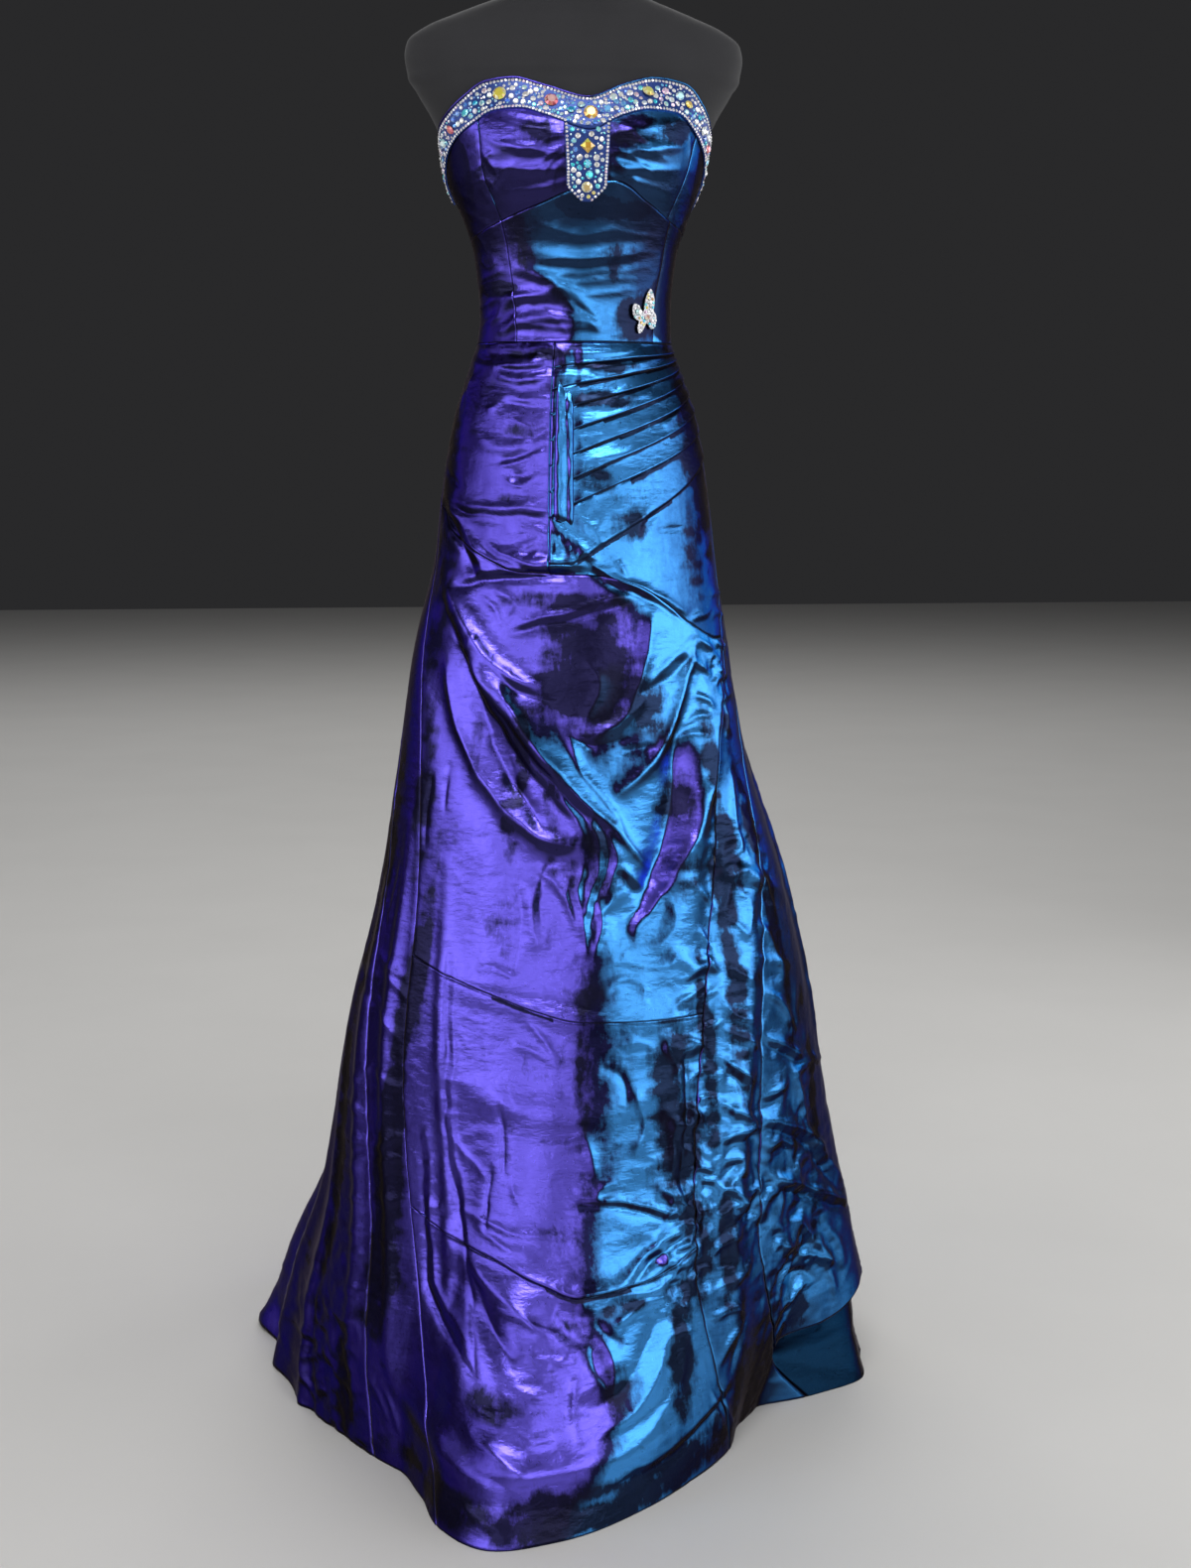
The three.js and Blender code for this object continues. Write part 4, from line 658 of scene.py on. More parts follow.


# shadeFactor darkens every colour of a copy of the cloth, as painted shade
def taffetaMaterial(name, shadeFactor=1.0):
    look = shotTaffeta
    cloth = newMaterial(name)
    tree, add, noise = cloth.tree, cloth.add, cloth.noise
    dimmed = lambda key: (*[c * shadeFactor for c in look[key]], 1)
    normal = add("ShaderNodeSeparateXYZ", Vector=cloth.place.outputs["Normal"])
    lean = add("ShaderNodeAttribute", {"attribute_name": "grainLean"})
    mottle, drift = noise(210.0, 3.0, roughness=0.6), noise(26.0, 2.0)
    streaks = noise(1.0, 4.0, (95.0, 95.0, 22.0), 0.65)

    def plus(source, factor, other):  # source times factor, and other
        total = add("ShaderNodeMath", {"operation": "MULTIPLY_ADD"})
        tree.links.new(source, total.inputs[0])
        total.inputs[1].default_value = factor
        tree.links.new(other, total.inputs[2])
        return total.outputs[0]
    facing = plus(lean.outputs["Fac"], 1.0, normal.outputs["X"])
    for source, amount in ((drift, "drift"), (mottle, "mottle"), (streaks, "streaks")):
        facing = plus(source, look[amount], facing)

    def spread(source, low, high, most=1.0):  # 0 at low and most at high
        values = {"From Min": low, "From Max": high, "To Max": most}
        return add("ShaderNodeMapRange", values, Value=source)
    ramp = spread(facing, *look["facing"])
    colours = add("ShaderNodeValToRGB", Fac=ramp.outputs[0])
    stops = colours.color_ramp.elements
    middle, fade, half = 0.5 + look["turnOver"] / 2, look["fade"], look["darkHalf"]
    stops[0].position, stops[0].color = 0.0, dimmed("violetShade")
    stops[1].position, stops[1].color = 1.0, dimmed("blueShade")
    # Painted shade: the colour darkens in a band where violet turns to blue, and towards the deeper
    # tones at either end
    for position, key in ((look["fullViolet"], "violet"), (middle - fade, "violet"),
                          (middle - half, "between"), (middle + half, "between"),
                          (middle + fade, "blue"), (look["fullBlue"], "blue")):
        stops.new(position).color = dimmed(key)
    # Painted shade: the colour turns dark where the shade was placed, raggedly, and wherever the
    # cloth faces down
    paintedShade = add("ShaderNodeAttribute", {"attribute_name": "groundShow"})
    broken = plus(streaks, 0.8, plus(mottle, 0.4, paintedShade.outputs["Fac"]))
    shows = spread(broken, *look["paintedShadeRange"])
    # Painted shade wherever the cloth faces down
    paintedShadeFacingDown = spread(normal.outputs["Z"], *look["paintedShadeFacingDown"])
    most = add("ShaderNodeMath", {"operation": "MAXIMUM"})
    tree.links.new(shows.outputs[0], most.inputs[0])
    tree.links.new(paintedShadeFacingDown.outputs[0], most.inputs[1])
    paintedShadeMixed = add("ShaderNodeMixRGB", {"Color2": dimmed("paintedShade")}, Fac=most.outputs[0],
                   Color1=colours.outputs["Color"])
    relief = {}
    for depth, height in (
            ("crinkle", noise(1.0, 3.0, (60.0, 60.0, 150.0))), ("grain", mottle),
            ("slubs", noise(1.0, 2.0, (240.0, 240.0, 1400.0))), ("threads", noise(900.0, 2.0))):
        bump = add("ShaderNodeBump", {"Distance": look[depth], "Strength": 1.0},
                   Height=height, **relief)
        relief = {"Normal": bump.outputs[0]}
    cloth.shade({"Metallic": 1.0, "Specular Tint": (*look["edge"], 1), "Sheen Weight": 0.15,
                 "Sheen Tint": (*look["sheen"], 1), "Sheen Roughness": 0.4},
                Base_Color=paintedShadeMixed.outputs["Color"],
                Roughness=cloth.ranged(mottle, *look["roughness"]), **relief)
    return cloth.material


taffeta = taffetaMaterial("shotTaffeta")
# Painted shade: the under layer is the taffeta darkened, for the shade it lies in under the raised
# hem
shadedUnderTaffeta = taffetaMaterial("shotTaffetaUnderLayerShaded", shotTaffeta["underLayer"])
print("taffeta mixed")

# Panels
seamGap, wall, lowestPoint = 0.3, 1.4, 0.4
belowWaist = waistHeight - seamGap / 2


def edgeTurn(seam, height, side):  # a named seam or a fixed turn, less half the seam gap
    if not isinstance(seam, str):
        return seam + side * seamGap / 2 * degreesPerMm(height)
    slant = (seamTurn(seam, height + 1) - seamTurn(seam, height - 1)) / 2 / degreesPerMm(height)
    return seamTurn(seam, height) + side * seamGap / 2 * degreesPerMm(height) * np.hypot(1, slant)


def between(first, second, u, height):
    return mix(edgeTurn(first, height, 1), edgeTurn(second, height, -1), u)


def settle(first, second, u, heightAt, start):  # height depends on turn, so it takes passes
    height = start + 0 * u
    for _ in range(7):
        height = heightAt(between(first, second, u, height))
    return between(first, second, u, height), height


def seamDip(points, depth):  # cloth drawn in along the two side seams of a panel
    steps = np.linalg.norm(np.diff(points, axis=1), axis=2)
    fromStart = np.concatenate([np.zeros((len(points), 1)), np.cumsum(steps, axis=1)], axis=1)
    fromEnd = fromStart[:, -1:] - fromStart
    near = np.minimum(fromStart, fromEnd)
    pucker = 0.45 * cloud(points[..., 2] / 8.5, near / 40, 15) * np.exp(-near / 8)
    return -depth * np.exp(-(near / 2.6) ** 2) + pucker * min(1, depth)


# How far the grain of each cut piece leans, which turns its colour to violet (below 0) or blue,
# and places where it leans more: turn, height, reach in millimetres, lean
panelLeans = {
    "cupRight": -0.1, "cupLeft": 0.12, "midriffFront": 0.5, "sideFrontRight": -0.15,
    "hipRight": -0.26, "hipLeft": 0.34, "hipTuck": 0.36, "skirtSideFrontRight": -0.2,
    "skirtSideBackRight": -0.2, "skirtSideFrontLeft": 0.25, "skirtSideBackLeft": 0.2,
}
grainSpots = [
    (-32, 1238, 34, -0.75), (-14, 1222, 24, -0.45), (-9, 120, 110, -0.3), (-4, 330, 90, -0.12),
    (0, 900, 60, -0.35), (8, 905, 40, -0.3), (24, 1432, 20, -0.35), (30, 755, 34, -0.28),
    (27, 690, 30, -0.26), (22, 640, 24, -0.2), (16, 790, 25, -0.25), (-12, 745, 26, 0.45),
    (-22, 150, 26, 0.5), (12, 1190, 20, -0.3), (70, 170, 34, -0.45), (-7, 100, 60, -0.35),
]
# Turn where the lean of the skirt's front changes over, how gradually, how much on each side
grainTurns = {"skirtFront": (-1, 6, 0.13)}
# Places of painted shade, where the cloth's colour turns dark: turn, height, reach across, reach up
# and down, amount
paintedShadeSpots = [
    (0, 850, 52, 76, 1.0), (21, 835, 20, 40, 0.6), (67, 1068, 22, 110, 0.9), (52, 985, 20, 60, 0.7),
    (58, 1120, 24, 70, 0.6), (-92, 1122, 26, 60, 0.8), (-76, 1050, 20, 90, 0.8),
    (-27, 1045, 26, 12, 0.7), (-24, 1118, 30, 10, 0.6), (-26, 1198, 30, 6, 0.7),
    (8, 1150, 30, 9, 0.7), (3, 1065, 24, 15, 0.8), (18, 1012, 22, 18, 0.7), (14, 1185, 40, 6, 0.6),
    (-8, 936, 60, 10, 0.6), (45, 722, 15, 120, 0.9), (39, 600, 13, 90, 0.8),
    (-21, 770, 10, 46, 0.8), (-11.5, 722, 11, 34, 0.9), (-38, 775, 9, 46, 0.6),
    (-24, 700, 12, 40, 0.6), (-59, 702, 18, 120, 0.8), (-51, 565, 16, 110, 0.8),
    (-54, 400, 15, 120, 0.9), (-55, 240, 32, 150, 0.8), (-84, 300, 18, 190, 0.8),
    (-8, 640, 16, 46, 0.6), (-3, 420, 9, 110, 0.5), (19, 385, 26, 96, 0.9), (22, 235, 26, 60, 0.8),
    (28, 450, 10, 120, 0.7), (31, 250, 14, 80, 0.7), (37, 470, 14, 100, 0.6), (4, 200, 26, 15, 0.9),
    (-20, 122, 30, 20, 0.8), (-6, 22, 260, 26, 0.8), (37, 120, 22, 80, 0.6),
    (-4, 1360, 30, 10, 0.5), (-78, 1385, 32, 70, 0.9), (72, 1400, 20, 80, 0.9),
    (50, 1428, 22, 26, 0.6), (10, 1352, 60, 16, 0.9), (-35, 1325, 10, 40, 0.7),
    (-62, 1270, 40, 9, 0.9), (42, 1246, 30, 34, 0.9), (28, 1234, 22, 24, 0.8),
    (64, 1245, 20, 40, 0.9), (78, 1272, 24, 60, 0.9), (-22, 1426, 26, 18, 0.7),
    (20, 1424, 24, 10, 0.6), (-66, 1312, 20, 26, 0.7), (60, 620, 16, 190, 0.7),
    (72, 330, 14, 150, 0.6), (60, 330, 10, 60, 0.4), (28, 715, 24, 95, 0.55),
    (-66, 900, 20, 120, 0.7), (-80, 640, 22, 160, 0.7), (4, 660, 24, 60, 0.6),
    (59, 1275, 18, 62, 0.9), (53, 1335, 14, 30, 0.7), (20, 1292, 46, 26, 0.4),
    (38, 1434, 24, 18, 0.8), (-64, 1405, 22, 50, 0.8), (16, 125, 22, 60, 1.0),
    (2, 128, 16, 30, 0.7), (27, 80, 14, 40, 0.6), (71, 100, 20, 40, 0.7), (-68, 60, 26, 60, 0.7),
]
# Painted shade the same all over, in ragged patches as gloss breaks up on creased cloth: large
# patches, and fine ones that are fewer above the waist
ragged = {"large": 0.34, "fine": 0.26, "fineLess": 0.16}


def grainTurn(name, turn):
    middle, reach, amount = grainTurns.get(name, (0, 1, 0))
    return amount * np.tanh((turn - middle) / reach)


def spotted(spots, turn, height, power, start=0.0):
    total = np.full(turn.shape, start)
    for spotTurn, spotHeight, across, upDown, amount in spots:
        away = np.hypot((turn - spotTurn) / degreesPerMm(height) / across,
                        (height - spotHeight) / upDown)
        total += amount * np.exp(-away ** power)
    return total


def raggedPaintedShade(turn, height):
    x = turn / degreesPerMm(height)
    fine = ragged["fine"] - ragged["fineLess"] * ease(height, waistHeight - 20, waistHeight + 40)
    return ragged["large"] * cloud(x / 30, height / 40, 17) + fine * cloud(x / 17, height / 9, 18)


def addCloth(name, node, turn, height, out=0.0, deepest=-9.0, dip=0.5,
             material=None, crumple=1.0, creased=1.0, paintedLapShade=0.0):
    bare = foldedSurface(turn, height)
    detail = creased * creaseRelief(turn, height) + crumple * crumpleRelief(turn, height)
    detail = np.maximum(detail, deepest) + out + seamDip(bare, dip)
    points = bare + gridNormals(bare) * detail[..., None]
    piece = shellObject(name, points, wall, material or taffeta, lowestPoint)
    leans = [(t, h, reach, reach, amount) for t, h, reach, amount in grainSpots]
    lean = spotted(leans, turn, height, 2, panelLeans.get(name, 0.0)) + grainTurn(name, turn)
    # Painted shade: the given spots, ragged patches and the rows under laps
    paintedShade = spotted(paintedShadeSpots, turn, height, 4) + raggedPaintedShade(turn, height) + paintedLapShade
    for label, values in (("grainLean", lean), ("groundShow", paintedShade)):
        both = np.concatenate([values.ravel(), values[::2, ::2].ravel()]).astype(np.float32)
        layer = piece.data.attributes.new(label, "FLOAT", "POINT")
        layer.data.foreach_set("value", both)
    fasten(piece, "cloth", node)


def grid(cols, rows):
    return np.meshgrid(np.linspace(0, 1, cols + 1), np.linspace(0, 1, rows + 1))


# Bodice: piece, node, columns, rows, seam on the right, seam on the left, how far it reaches
bodicePanels = [
    ("cupRight", "cup_right", 84, 60, "cupRight", 1, "cup"),
    ("cupLeft", "cup_left", 84, 60, 1, "cupLeft", "cup"),
    ("cupSideRight", "cup_side_right", 50, 60, -96, "cupRight", "cup"),
    ("cupSideLeft", "cup_side_left", 50, 60, "cupLeft", 96, "cup"),
    ("midriffFront", "midriff_front", 100, 72, "princessRight", "princessLeft", "waist"),
    ("sideFrontRight", "side_front_right", 50, 60, -96, "princessRight", "waist"),
    ("sideFrontLeft", "side_front_left", 50, 60, "princessLeft", 96, "waist"),
    ("sideBackRight", "side_back_right", 36, 70, -138, -96, "tall"),
    ("sideBackLeft", "side_back_left", 36, 70, 96, 138, "tall"),
    ("backRight", "back_right", 40, 60, -180, -138, "tall"),
    ("backLeft", "back_left", 40, 60, 138, 180, "tall"),
]
for name, node, cols, rows, first, second, kind in bodicePanels:
    u, v = grid(cols, rows)

    def bodiceHeight(turn):
        top = bustSeam(turn) - seamGap / 2 if kind == "waist" else neckHeight(turn)
        waist = waistHeight + seamGap / 2 + 0 * turn
        return mix(top, bustSeam(turn) + seamGap / 2 if kind == "cup" else waist, v)
    turn, height = settle(first, second, u, bodiceHeight, waistHeight + 150.0)
    addCloth(name, node, turn, height, deepest=-0.9, dip=0.35,
             crumple=0.4, creased=0.75)

# Hips: each pleat line has its height at the middle and at the side
hipPleats = {
    "lines": [(1184, 1203), (1160, 1196), (1134, 1188), (1106, 1176), (1078, 1160), (1050, 1142),
              (1022, 1120), (950, 1094)],
    "lift": 3.0, "rowsBetween": 10, "rowsBelow": 48, "start": -5, "lead": 5, "flatter": 0.6,
    "flatterFrom": (70, 92), "middleTurn": -16, "reach": 96, "bend": 0.8, "clear": 9,
}
# Where cloth turns under a fold edge: height, share of the lift
lapShape = [(-0.9, 0.74), (0.5, 0.36), (2.2, 0.08), (2.0, 0.0)]
# Painted shade under a lap edge: rows this many millimetres below it are painted dark
paintedShadeUnderLap = 3.5


# Rows of a panel that follow lap lines: the lines above and below, the share between them,
# the shift, the drop, the lift and the share of it (below 0 where the cloth turns under)
def lappedRows(lines, counts, lifts):
    rows = []
    for k, (upper, lower) in enumerate(zip(lines, lines[1:])):
        shift = lapShape[-1][0] if k and lifts[k] else 0
        for i in range(1 if k else 0, counts[k] + 1):
            rows.append((upper, lower, i / counts[k], shift, 0, lifts[k + 1], i / counts[k]))
        if lifts[k + 1]:
            for drop, share in lapShape:
                rows.append((lower, lower, 0, 0, drop, lifts[k + 1], -share))
    return rows


def hipLine(middle, side):
    def heightAt(turn):
        share = np.clip((turn - hipPleats["middleTurn"]) / hipPleats["reach"], 0, 1)
        return np.maximum(mix(middle, side, share ** hipPleats["bend"]),
                          hipBottom(turn) + hipPleats["clear"])
    return heightAt


def lappedPanel(cols, first, second, rowPlan, fade, pouch, start):
    u = np.linspace(0, 1, cols + 1)
    table = []
    for upper, lower, share, shift, drop, lift, lapShare in rowPlan:
        def heightAt(turn):
            strength = fade(turn)
            top = upper(turn) + shift * strength * (1 - share)
            return mix(top, lower(turn), share) + drop * (0.3 + 0.7 * strength)
        turn, height = settle(first, second, u, heightAt, start)
        strength = fade(turn) * lift
        if lapShare < 0:
            out = strength * -lapShare
        else:
            above = (height - lower(turn)) if lift else 1e3
            out = strength * (np.exp(-above / pouch) if pouch else share ** 1.6)
        # Painted shade for the cloth turned under each lap and the rows just below its edge
        shadedJustBelow = (shift > 0) & (upper(turn) - height < paintedShadeUnderLap)
        table.append((turn, height, out + 0 * u, fade(turn) * ((lapShare < 0) | shadedJustBelow)))
    if len(table) % 2 == 0:  # the shell needs an even number of spaces between rows
        table.insert(1, tuple((a + b) / 2 for a, b in zip(table[0], table[1])))
    return [np.array(column) for column in zip(*table)]


hipFoot = lambda turn: hipBottom(turn) + seamGap
hipTop = lambda turn: belowWaist + 0 * turn
u, v = grid(90, 110)
turn, height = settle("frontRight", "hipMiddle", u,
                      lambda t: mix(hipTop(t), hipFoot(t), v), 1100.0)
addCloth("hipRight", "hip_right", turn, height, deepest=-4.5)


def pleatFade(turn):
    start = hipPleats["start"]
    return (ease(turn, start - 1, start + hipPleats["lead"])
            * (1 - hipPleats["flatter"] * ease(turn, *hipPleats["flatterFrom"])))


pleats = len(hipPleats["lines"])
pleatRows = lappedRows([hipTop, *[hipLine(*line) for line in hipPleats["lines"]], hipFoot],
                       [hipPleats["rowsBetween"]] * pleats + [hipPleats["rowsBelow"]],
                       [0] + [hipPleats["lift"]] * pleats + [0])
turn, height, out, paintedLapShade = lappedPanel(130, "hipMiddle", "frontLeft", pleatRows, pleatFade, 0,
                                        1100.0)
addCloth("hipLeft", "hip_left", turn, height, out, deepest=-4.0,
         crumple=0.6, paintedLapShade=paintedLapShade)

# The tuck's folds: rise, place across it and width; then how far its edges sink
hipTuck = {
    "turns": (-13.5, -5), "heights": (1172, 1022), "slants": (16, 8), "out": 2.2,
    "folds": [(0.8, 0.25, 0.2), (-0.7, 0.62, 0.1), (0.3, 0.85, 0.12)],
    "crumple": 0.6, "sinkTop": 2.6, "sinkFoot": 2.4, "sinkSides": 2.2,
}
u, v = grid(24, 80)
(tuckTop, tuckFoot), (topSlant, footSlant) = hipTuck["heights"], hipTuck["slants"]
turn = mix(*hipTuck["turns"], u)
height = mix(tuckTop - topSlant * u, tuckFoot - footSlant * u, v)
sway = u + 0.12 * cloud(v * 5, u * 0, 13)
tuckFolds = sum(rise * np.exp(-((sway - place) / width) ** 2)
                for rise, place, width in hipTuck["folds"])
tuckFolds += (hipTuck["crumple"] * cloud(u * 3, v * 13, 12)
              - hipTuck["sinkTop"] * (1 - ease(v, 0, 0.09))
              - hipTuck["sinkFoot"] * (1 - ease(v, 1, 0.94))
              - hipTuck["sinkSides"] * (1 - ease(np.minimum(u, 1 - u), 0, 0.1)))
addCloth("hipTuck", "hip_tuck", turn, height, hipTuck["out"] + tuckFolds, deepest=-0.6, dip=0.2,
         crumple=0.4)
print("hips sewn")

# Skirt: its front has two swags, which lap over the cloth below them
skirtLaps = {
    "upper": columns("turn height", [
        (-56, 552), (-40, 533), (-25, 515), (-14, 500), (-4, 490), (12, 488), (31, 491)]),
    "lower": columns("turn height", [
        (-46, 281), (-34, 263), (-21, 250), (-12, 229), (-5, 214), (9, 220), (20, 240),
        (30, 264)]),
    "lifts": (5.5, 3.8), "pouch": 26, "rows": (168, 100, 84), "begin": (-52, -20),
    "weaken": (2, 14), "weakest": 0.35, "end": (18, 28),
}
lapLine = lambda key: (lambda turn: along(skirtLaps[key], "turn", turn, "height"))
frontLines = [lambda t: hipBottom(t) - seamGap / 2, lapLine("upper"), lapLine("lower"),
              lambda t: 0 * t]
frontRows = lappedRows(frontLines, skirtLaps["rows"], [0, *skirtLaps["lifts"], 0])


def frontFade(turn):
    weaker = mix(skirtLaps["weakest"], 1, 1 - ease(turn, *skirtLaps["weaken"]))
    return ease(turn, *skirtLaps["begin"]) * weaker * (1 - ease(turn, *skirtLaps["end"]))


turn, height, out, paintedLapShade = lappedPanel(200, "frontRight", "frontLeft", frontRows, frontFade,
                                        skirtLaps["pouch"], 500.0)
addCloth("skirtFront", "skirt_front", turn, height, out, deepest=-8.0,
         paintedLapShade=paintedLapShade)

# Piece, node, columns, rows, seam on the right, seam on the left, share of creases and crumples
longPanels = [
    ("skirtSideFrontRight", "skirt_side_front_right", 40, 400, "sideRight", "frontRight",
     0.8, 0.7),
    ("skirtSideBackRight", "skirt_side_back_right", 68, 300, "backRight", "sideRight", 0.8, 0.8),
    ("skirtBackRight", "skirt_back_right", 110, 240, -180, "backRight", 1.0, 1.0),
    ("skirtSideFrontLeft", "skirt_side_front_left", 52, 400, "frontLeft", "sideLeft", 1.5, 1.5),
    ("skirtSideBackLeft", "skirt_side_back_left", 110, 320, "sideLeft", "backLeft", 1.6, 1.6),
    ("skirtBackLeft", "skirt_back_left", 96, 240, "backLeft", 180, 1.0, 1.0),
]
liftTop, partingTurn = leftHipEdge / 4, 1.5
for name, node, cols, rows, first, second, creased, crumple in longPanels:
    u, v = grid(cols, rows)
    level = belowWaist * (1 - v)
    if name == "skirtSideBackLeft":  # its hem is raised over the under layer
        def lifted(turn):
            raised = mix(along(liftedHem, "turn", turn, "height"), liftTop, level / liftTop)
            return np.where(level < liftTop, raised, level)
        turn, height = settle(first, second, u, lifted, 400.0)
        parted = partingTurn * (1 - u) * (1 - level / liftTop)
        turn = turn + np.where(level < liftTop, parted, 0)
    else:
        turn, height = between(first, second, u, level), level
    addCloth(name, node, turn, height, deepest=-7.0, creased=creased,
             crumple=crumple)

underLayer = {"end": 130, "top": 300, "depth": 14, "foot": 3}
u, v = grid(70, 60)
height = underLayer["top"] * (1 - v) ** 1.3
edgeTop = leftHipEdge / 16
parting = (np.where(height <= edgeTop, 0, partingTurn * (1 - u))
           * ease(height, edgeTop * 0.6, edgeTop * 1.2))
turn = between("sideLeft", underLayer["end"], u, height) + parting
behind = mix(mix(underLayer["foot"], underLayer["depth"], u), underLayer["depth"],
             np.clip(height / edgeTop, 0, 1))
behind *= np.where(height <= edgeTop, np.minimum(1, u * 4 + height / edgeTop), 1)
addCloth("skirtUnderLeft", "skirt_under_left", turn, height, -behind, deepest=-3.0,
         material=shadedUnderTaffeta)
print("skirt sewn")


# Beadwork
def gemShape(sides, table, girdle):  # unit gem: flat back, girdle and a cut crown
    def ring(r, z, turn):
        turns = [2 * math.pi * (i + turn) / sides for i in range(sides)]
        return [(r * math.cos(a), r * math.sin(a), z) for a in turns]
    points = ring(0.92, 0, 0) + ring(1, girdle, 0) + ring(table, 1, 0.5)
    faces = [list(range(sides))[::-1]]
    for i in range(sides):
        j = (i + 1) % sides
        faces += [[i, j, sides + j, sides + i], [sides + i, sides + j, 2 * sides + i],
                  [sides + j, 2 * sides + j, 2 * sides + i]]
    faces.append([2 * sides + i for i in range(sides)])
    return np.array(points), faces


gemTints = {
    "clear": [(1.0, 1.0, 1.0), (1.0, 1.0, 1.0), (1.0, 0.90, 0.97), (0.88, 0.95, 1.0),
              (1.0, 0.97, 0.90), (0.80, 0.78, 1.0)],
    "blue": [(0.06, 0.22, 1.0), (0.16, 0.45, 1.0), (0.40, 0.70, 1.0), (0.05, 0.14, 0.70),
             (0.85, 0.93, 1.0)],
    "aqua": [(0.04, 0.60, 1.0), (0.15, 0.80, 1.0), (0.55, 0.95, 1.0), (0.03, 0.40, 0.75),
             (0.92, 1.0, 1.0)],
    "gold": [(0.95, 0.55, 0.08), (1.0, 0.74, 0.22), (0.70, 0.30, 0.05), (1.0, 0.90, 0.55),
             (1.0, 0.92, 0.80)],
    "red": [(0.60, 0.04, 0.10), (0.80, 0.16, 0.20), (0.85, 0.45, 0.20), (0.90, 0.30, 0.50),
            (0.95, 0.80, 0.60)],
    "rose": [(0.90, 0.62, 0.75), (0.95, 0.78, 0.86), (0.80, 0.45, 0.65), (0.95, 0.90, 0.95),
             (0.70, 0.60, 0.95)],
}
# Each facet takes up to "mixed" of another tint and a brightness between the two given, which
# paints glints on the brighter facets and shade on the darker ones
cutGems = {"tilt": 0.17, "mixed": 0.6, "paintedGlintRange": (0.6, 2.2)}
gemCuts = {
    "small": gemShape(6, 0.5, 0.35), "round": gemShape(8, 0.55, 0.3),
    "large": gemShape(10, 0.58, 0.3), "diamond": gemShape(4, 0.5, 0.25),
}
crystal = newMaterial("cutCrystal")
facetTintAndGlint = crystal.add("ShaderNodeAttribute", {"attribute_name": "gemTint"})
vary = crystal.add("ShaderNodeMixRGB", {"blend_type": "MULTIPLY", "Fac": 0.12},
                   Color1=facetTintAndGlint.outputs["Color"],
                   Color2=crystal.noise(700.0, 1.0, output="Color"))
crystal.shade({"Metallic": 0.35, "Roughness": 0.12, "Coat Weight": 0.8, "Coat Roughness": 0.03},
              Base_Color=vary.outputs["Color"])


def setGems(name, gems, seed):  # gems: centre, facing, radius, height, cut, tint in each row
    dice = np.random.default_rng(seed)
    vertices, faces, tints, count = [], [], [], 0
    for centre, facing, radius, rise, cut, tint in gems:
        points, sides = gemCuts[cut]
        facing = unit(np.array(facing) + dice.normal(0, cutGems["tilt"], 3))
        across = unit(np.cross((0.0, 0.0, 1.0), facing))
        up = np.cross(facing, across)
        spin = 0 if cut == "diamond" else dice.uniform(0, math.pi)
        a = across * math.cos(spin) + up * math.sin(spin)
        b = up * math.cos(spin) - across * math.sin(spin)
        flat = (points[:, :1] * a + points[:, 1:2] * b) * radius
        vertices.append(centre + flat + points[:, 2:] * facing * rise)
        choices = gemTints[tint]
        main = np.array(choices[dice.integers(len(choices))])
        for side in sides:
            faces.append([count + i for i in side])
            other = np.array(choices[dice.integers(len(choices))])
            facet = mix(main, other, dice.uniform(0, cutGems["mixed"]))
            # Painted glints and shade: a random brightness on each facet
            facet = np.clip(facet * dice.uniform(*cutGems["paintedGlintRange"]), 0, 1)
            tints += [(*facet, 1.0)] * len(side)
        count += len(points)
    obj = newObject(name, np.vstack(vertices), faces, crystal.material, smooth=False)
    layer = obj.data.attributes.new("gemTint", "FLOAT_COLOR", "CORNER")
    layer.data.foreach_set("color", np.array(tints, np.float32).ravel())
    fasten(obj, "beads")
    return obj


beadedBand = {
    "sides": 96, "lift": 0.5, "thickness": 1.8, "borderRadius": 1.8, "borderSpacing": 3.8,
    "large": [  # turn, distance below the top edge, radius, cut, tint
        (-88, 22, 4.5, "large", "clear"), (-76, 17, 5, "large", "aqua"),
        (-64, 16, 5.5, "large", "red"), (-50, 16, 4.5, "round", "aqua"),
        (-31, 18, 7.5, "large", "gold"), (-21, 20, 4, "round", "clear"),
        (-12, 18, 7.5, "large", "red"), (-5, 21, 4.5, "large", "aqua"),
        (-1, 12, 4.5, "large", "blue"), (2.5, 20, 7.8, "large", "gold"),
        (9, 22, 4.5, "large", "blue"), (11, 12, 4.5, "large", "aqua"),
        (17, 14, 4, "round", "clear"), (24, 17, 7.2, "large", "gold"),
        (31, 15, 4, "round", "rose"), (38, 16, 5, "large", "blue"),
        (44, 17, 5, "large", "gold"), (60, 17, 5, "large", "aqua"),
        (74, 16, 5, "large", "red"), (88, 22, 4.5, "large", "clear"),
    ],
    "tints": ["blue"] * 5 + ["aqua"] * 4 + ["clear"] * 5 + ["rose"] * 2,
    "sizes": [(3.2, 0.16), (2.4, 0.24), (1.8, 0.3), (1.2, 0.3)], "tries": 7000,
}
bandTurns = np.linspace(-beadedBand["sides"], beadedBand["sides"], 2001)
bandEdge = foldedSurface(bandTurns, neckHeight(bandTurns) - 15)
bandRun = np.concatenate([[0], np.cumsum(np.linalg.norm(np.diff(bandEdge, axis=0), axis=1))])
backing = newMaterial("beadBacking")
backing.shade({"Roughness": 0.35, "Metallic": 0.4}, Base_Color=backing.toned(
    backing.noise(900.0, 2.0), (0.012, 0.02, 0.12), (0.03, 0.09, 0.40)))


def bandPlace(run, drop):
    turn = np.interp(run, bandRun, bandTurns)
    return turn, neckHeight(turn) - drop


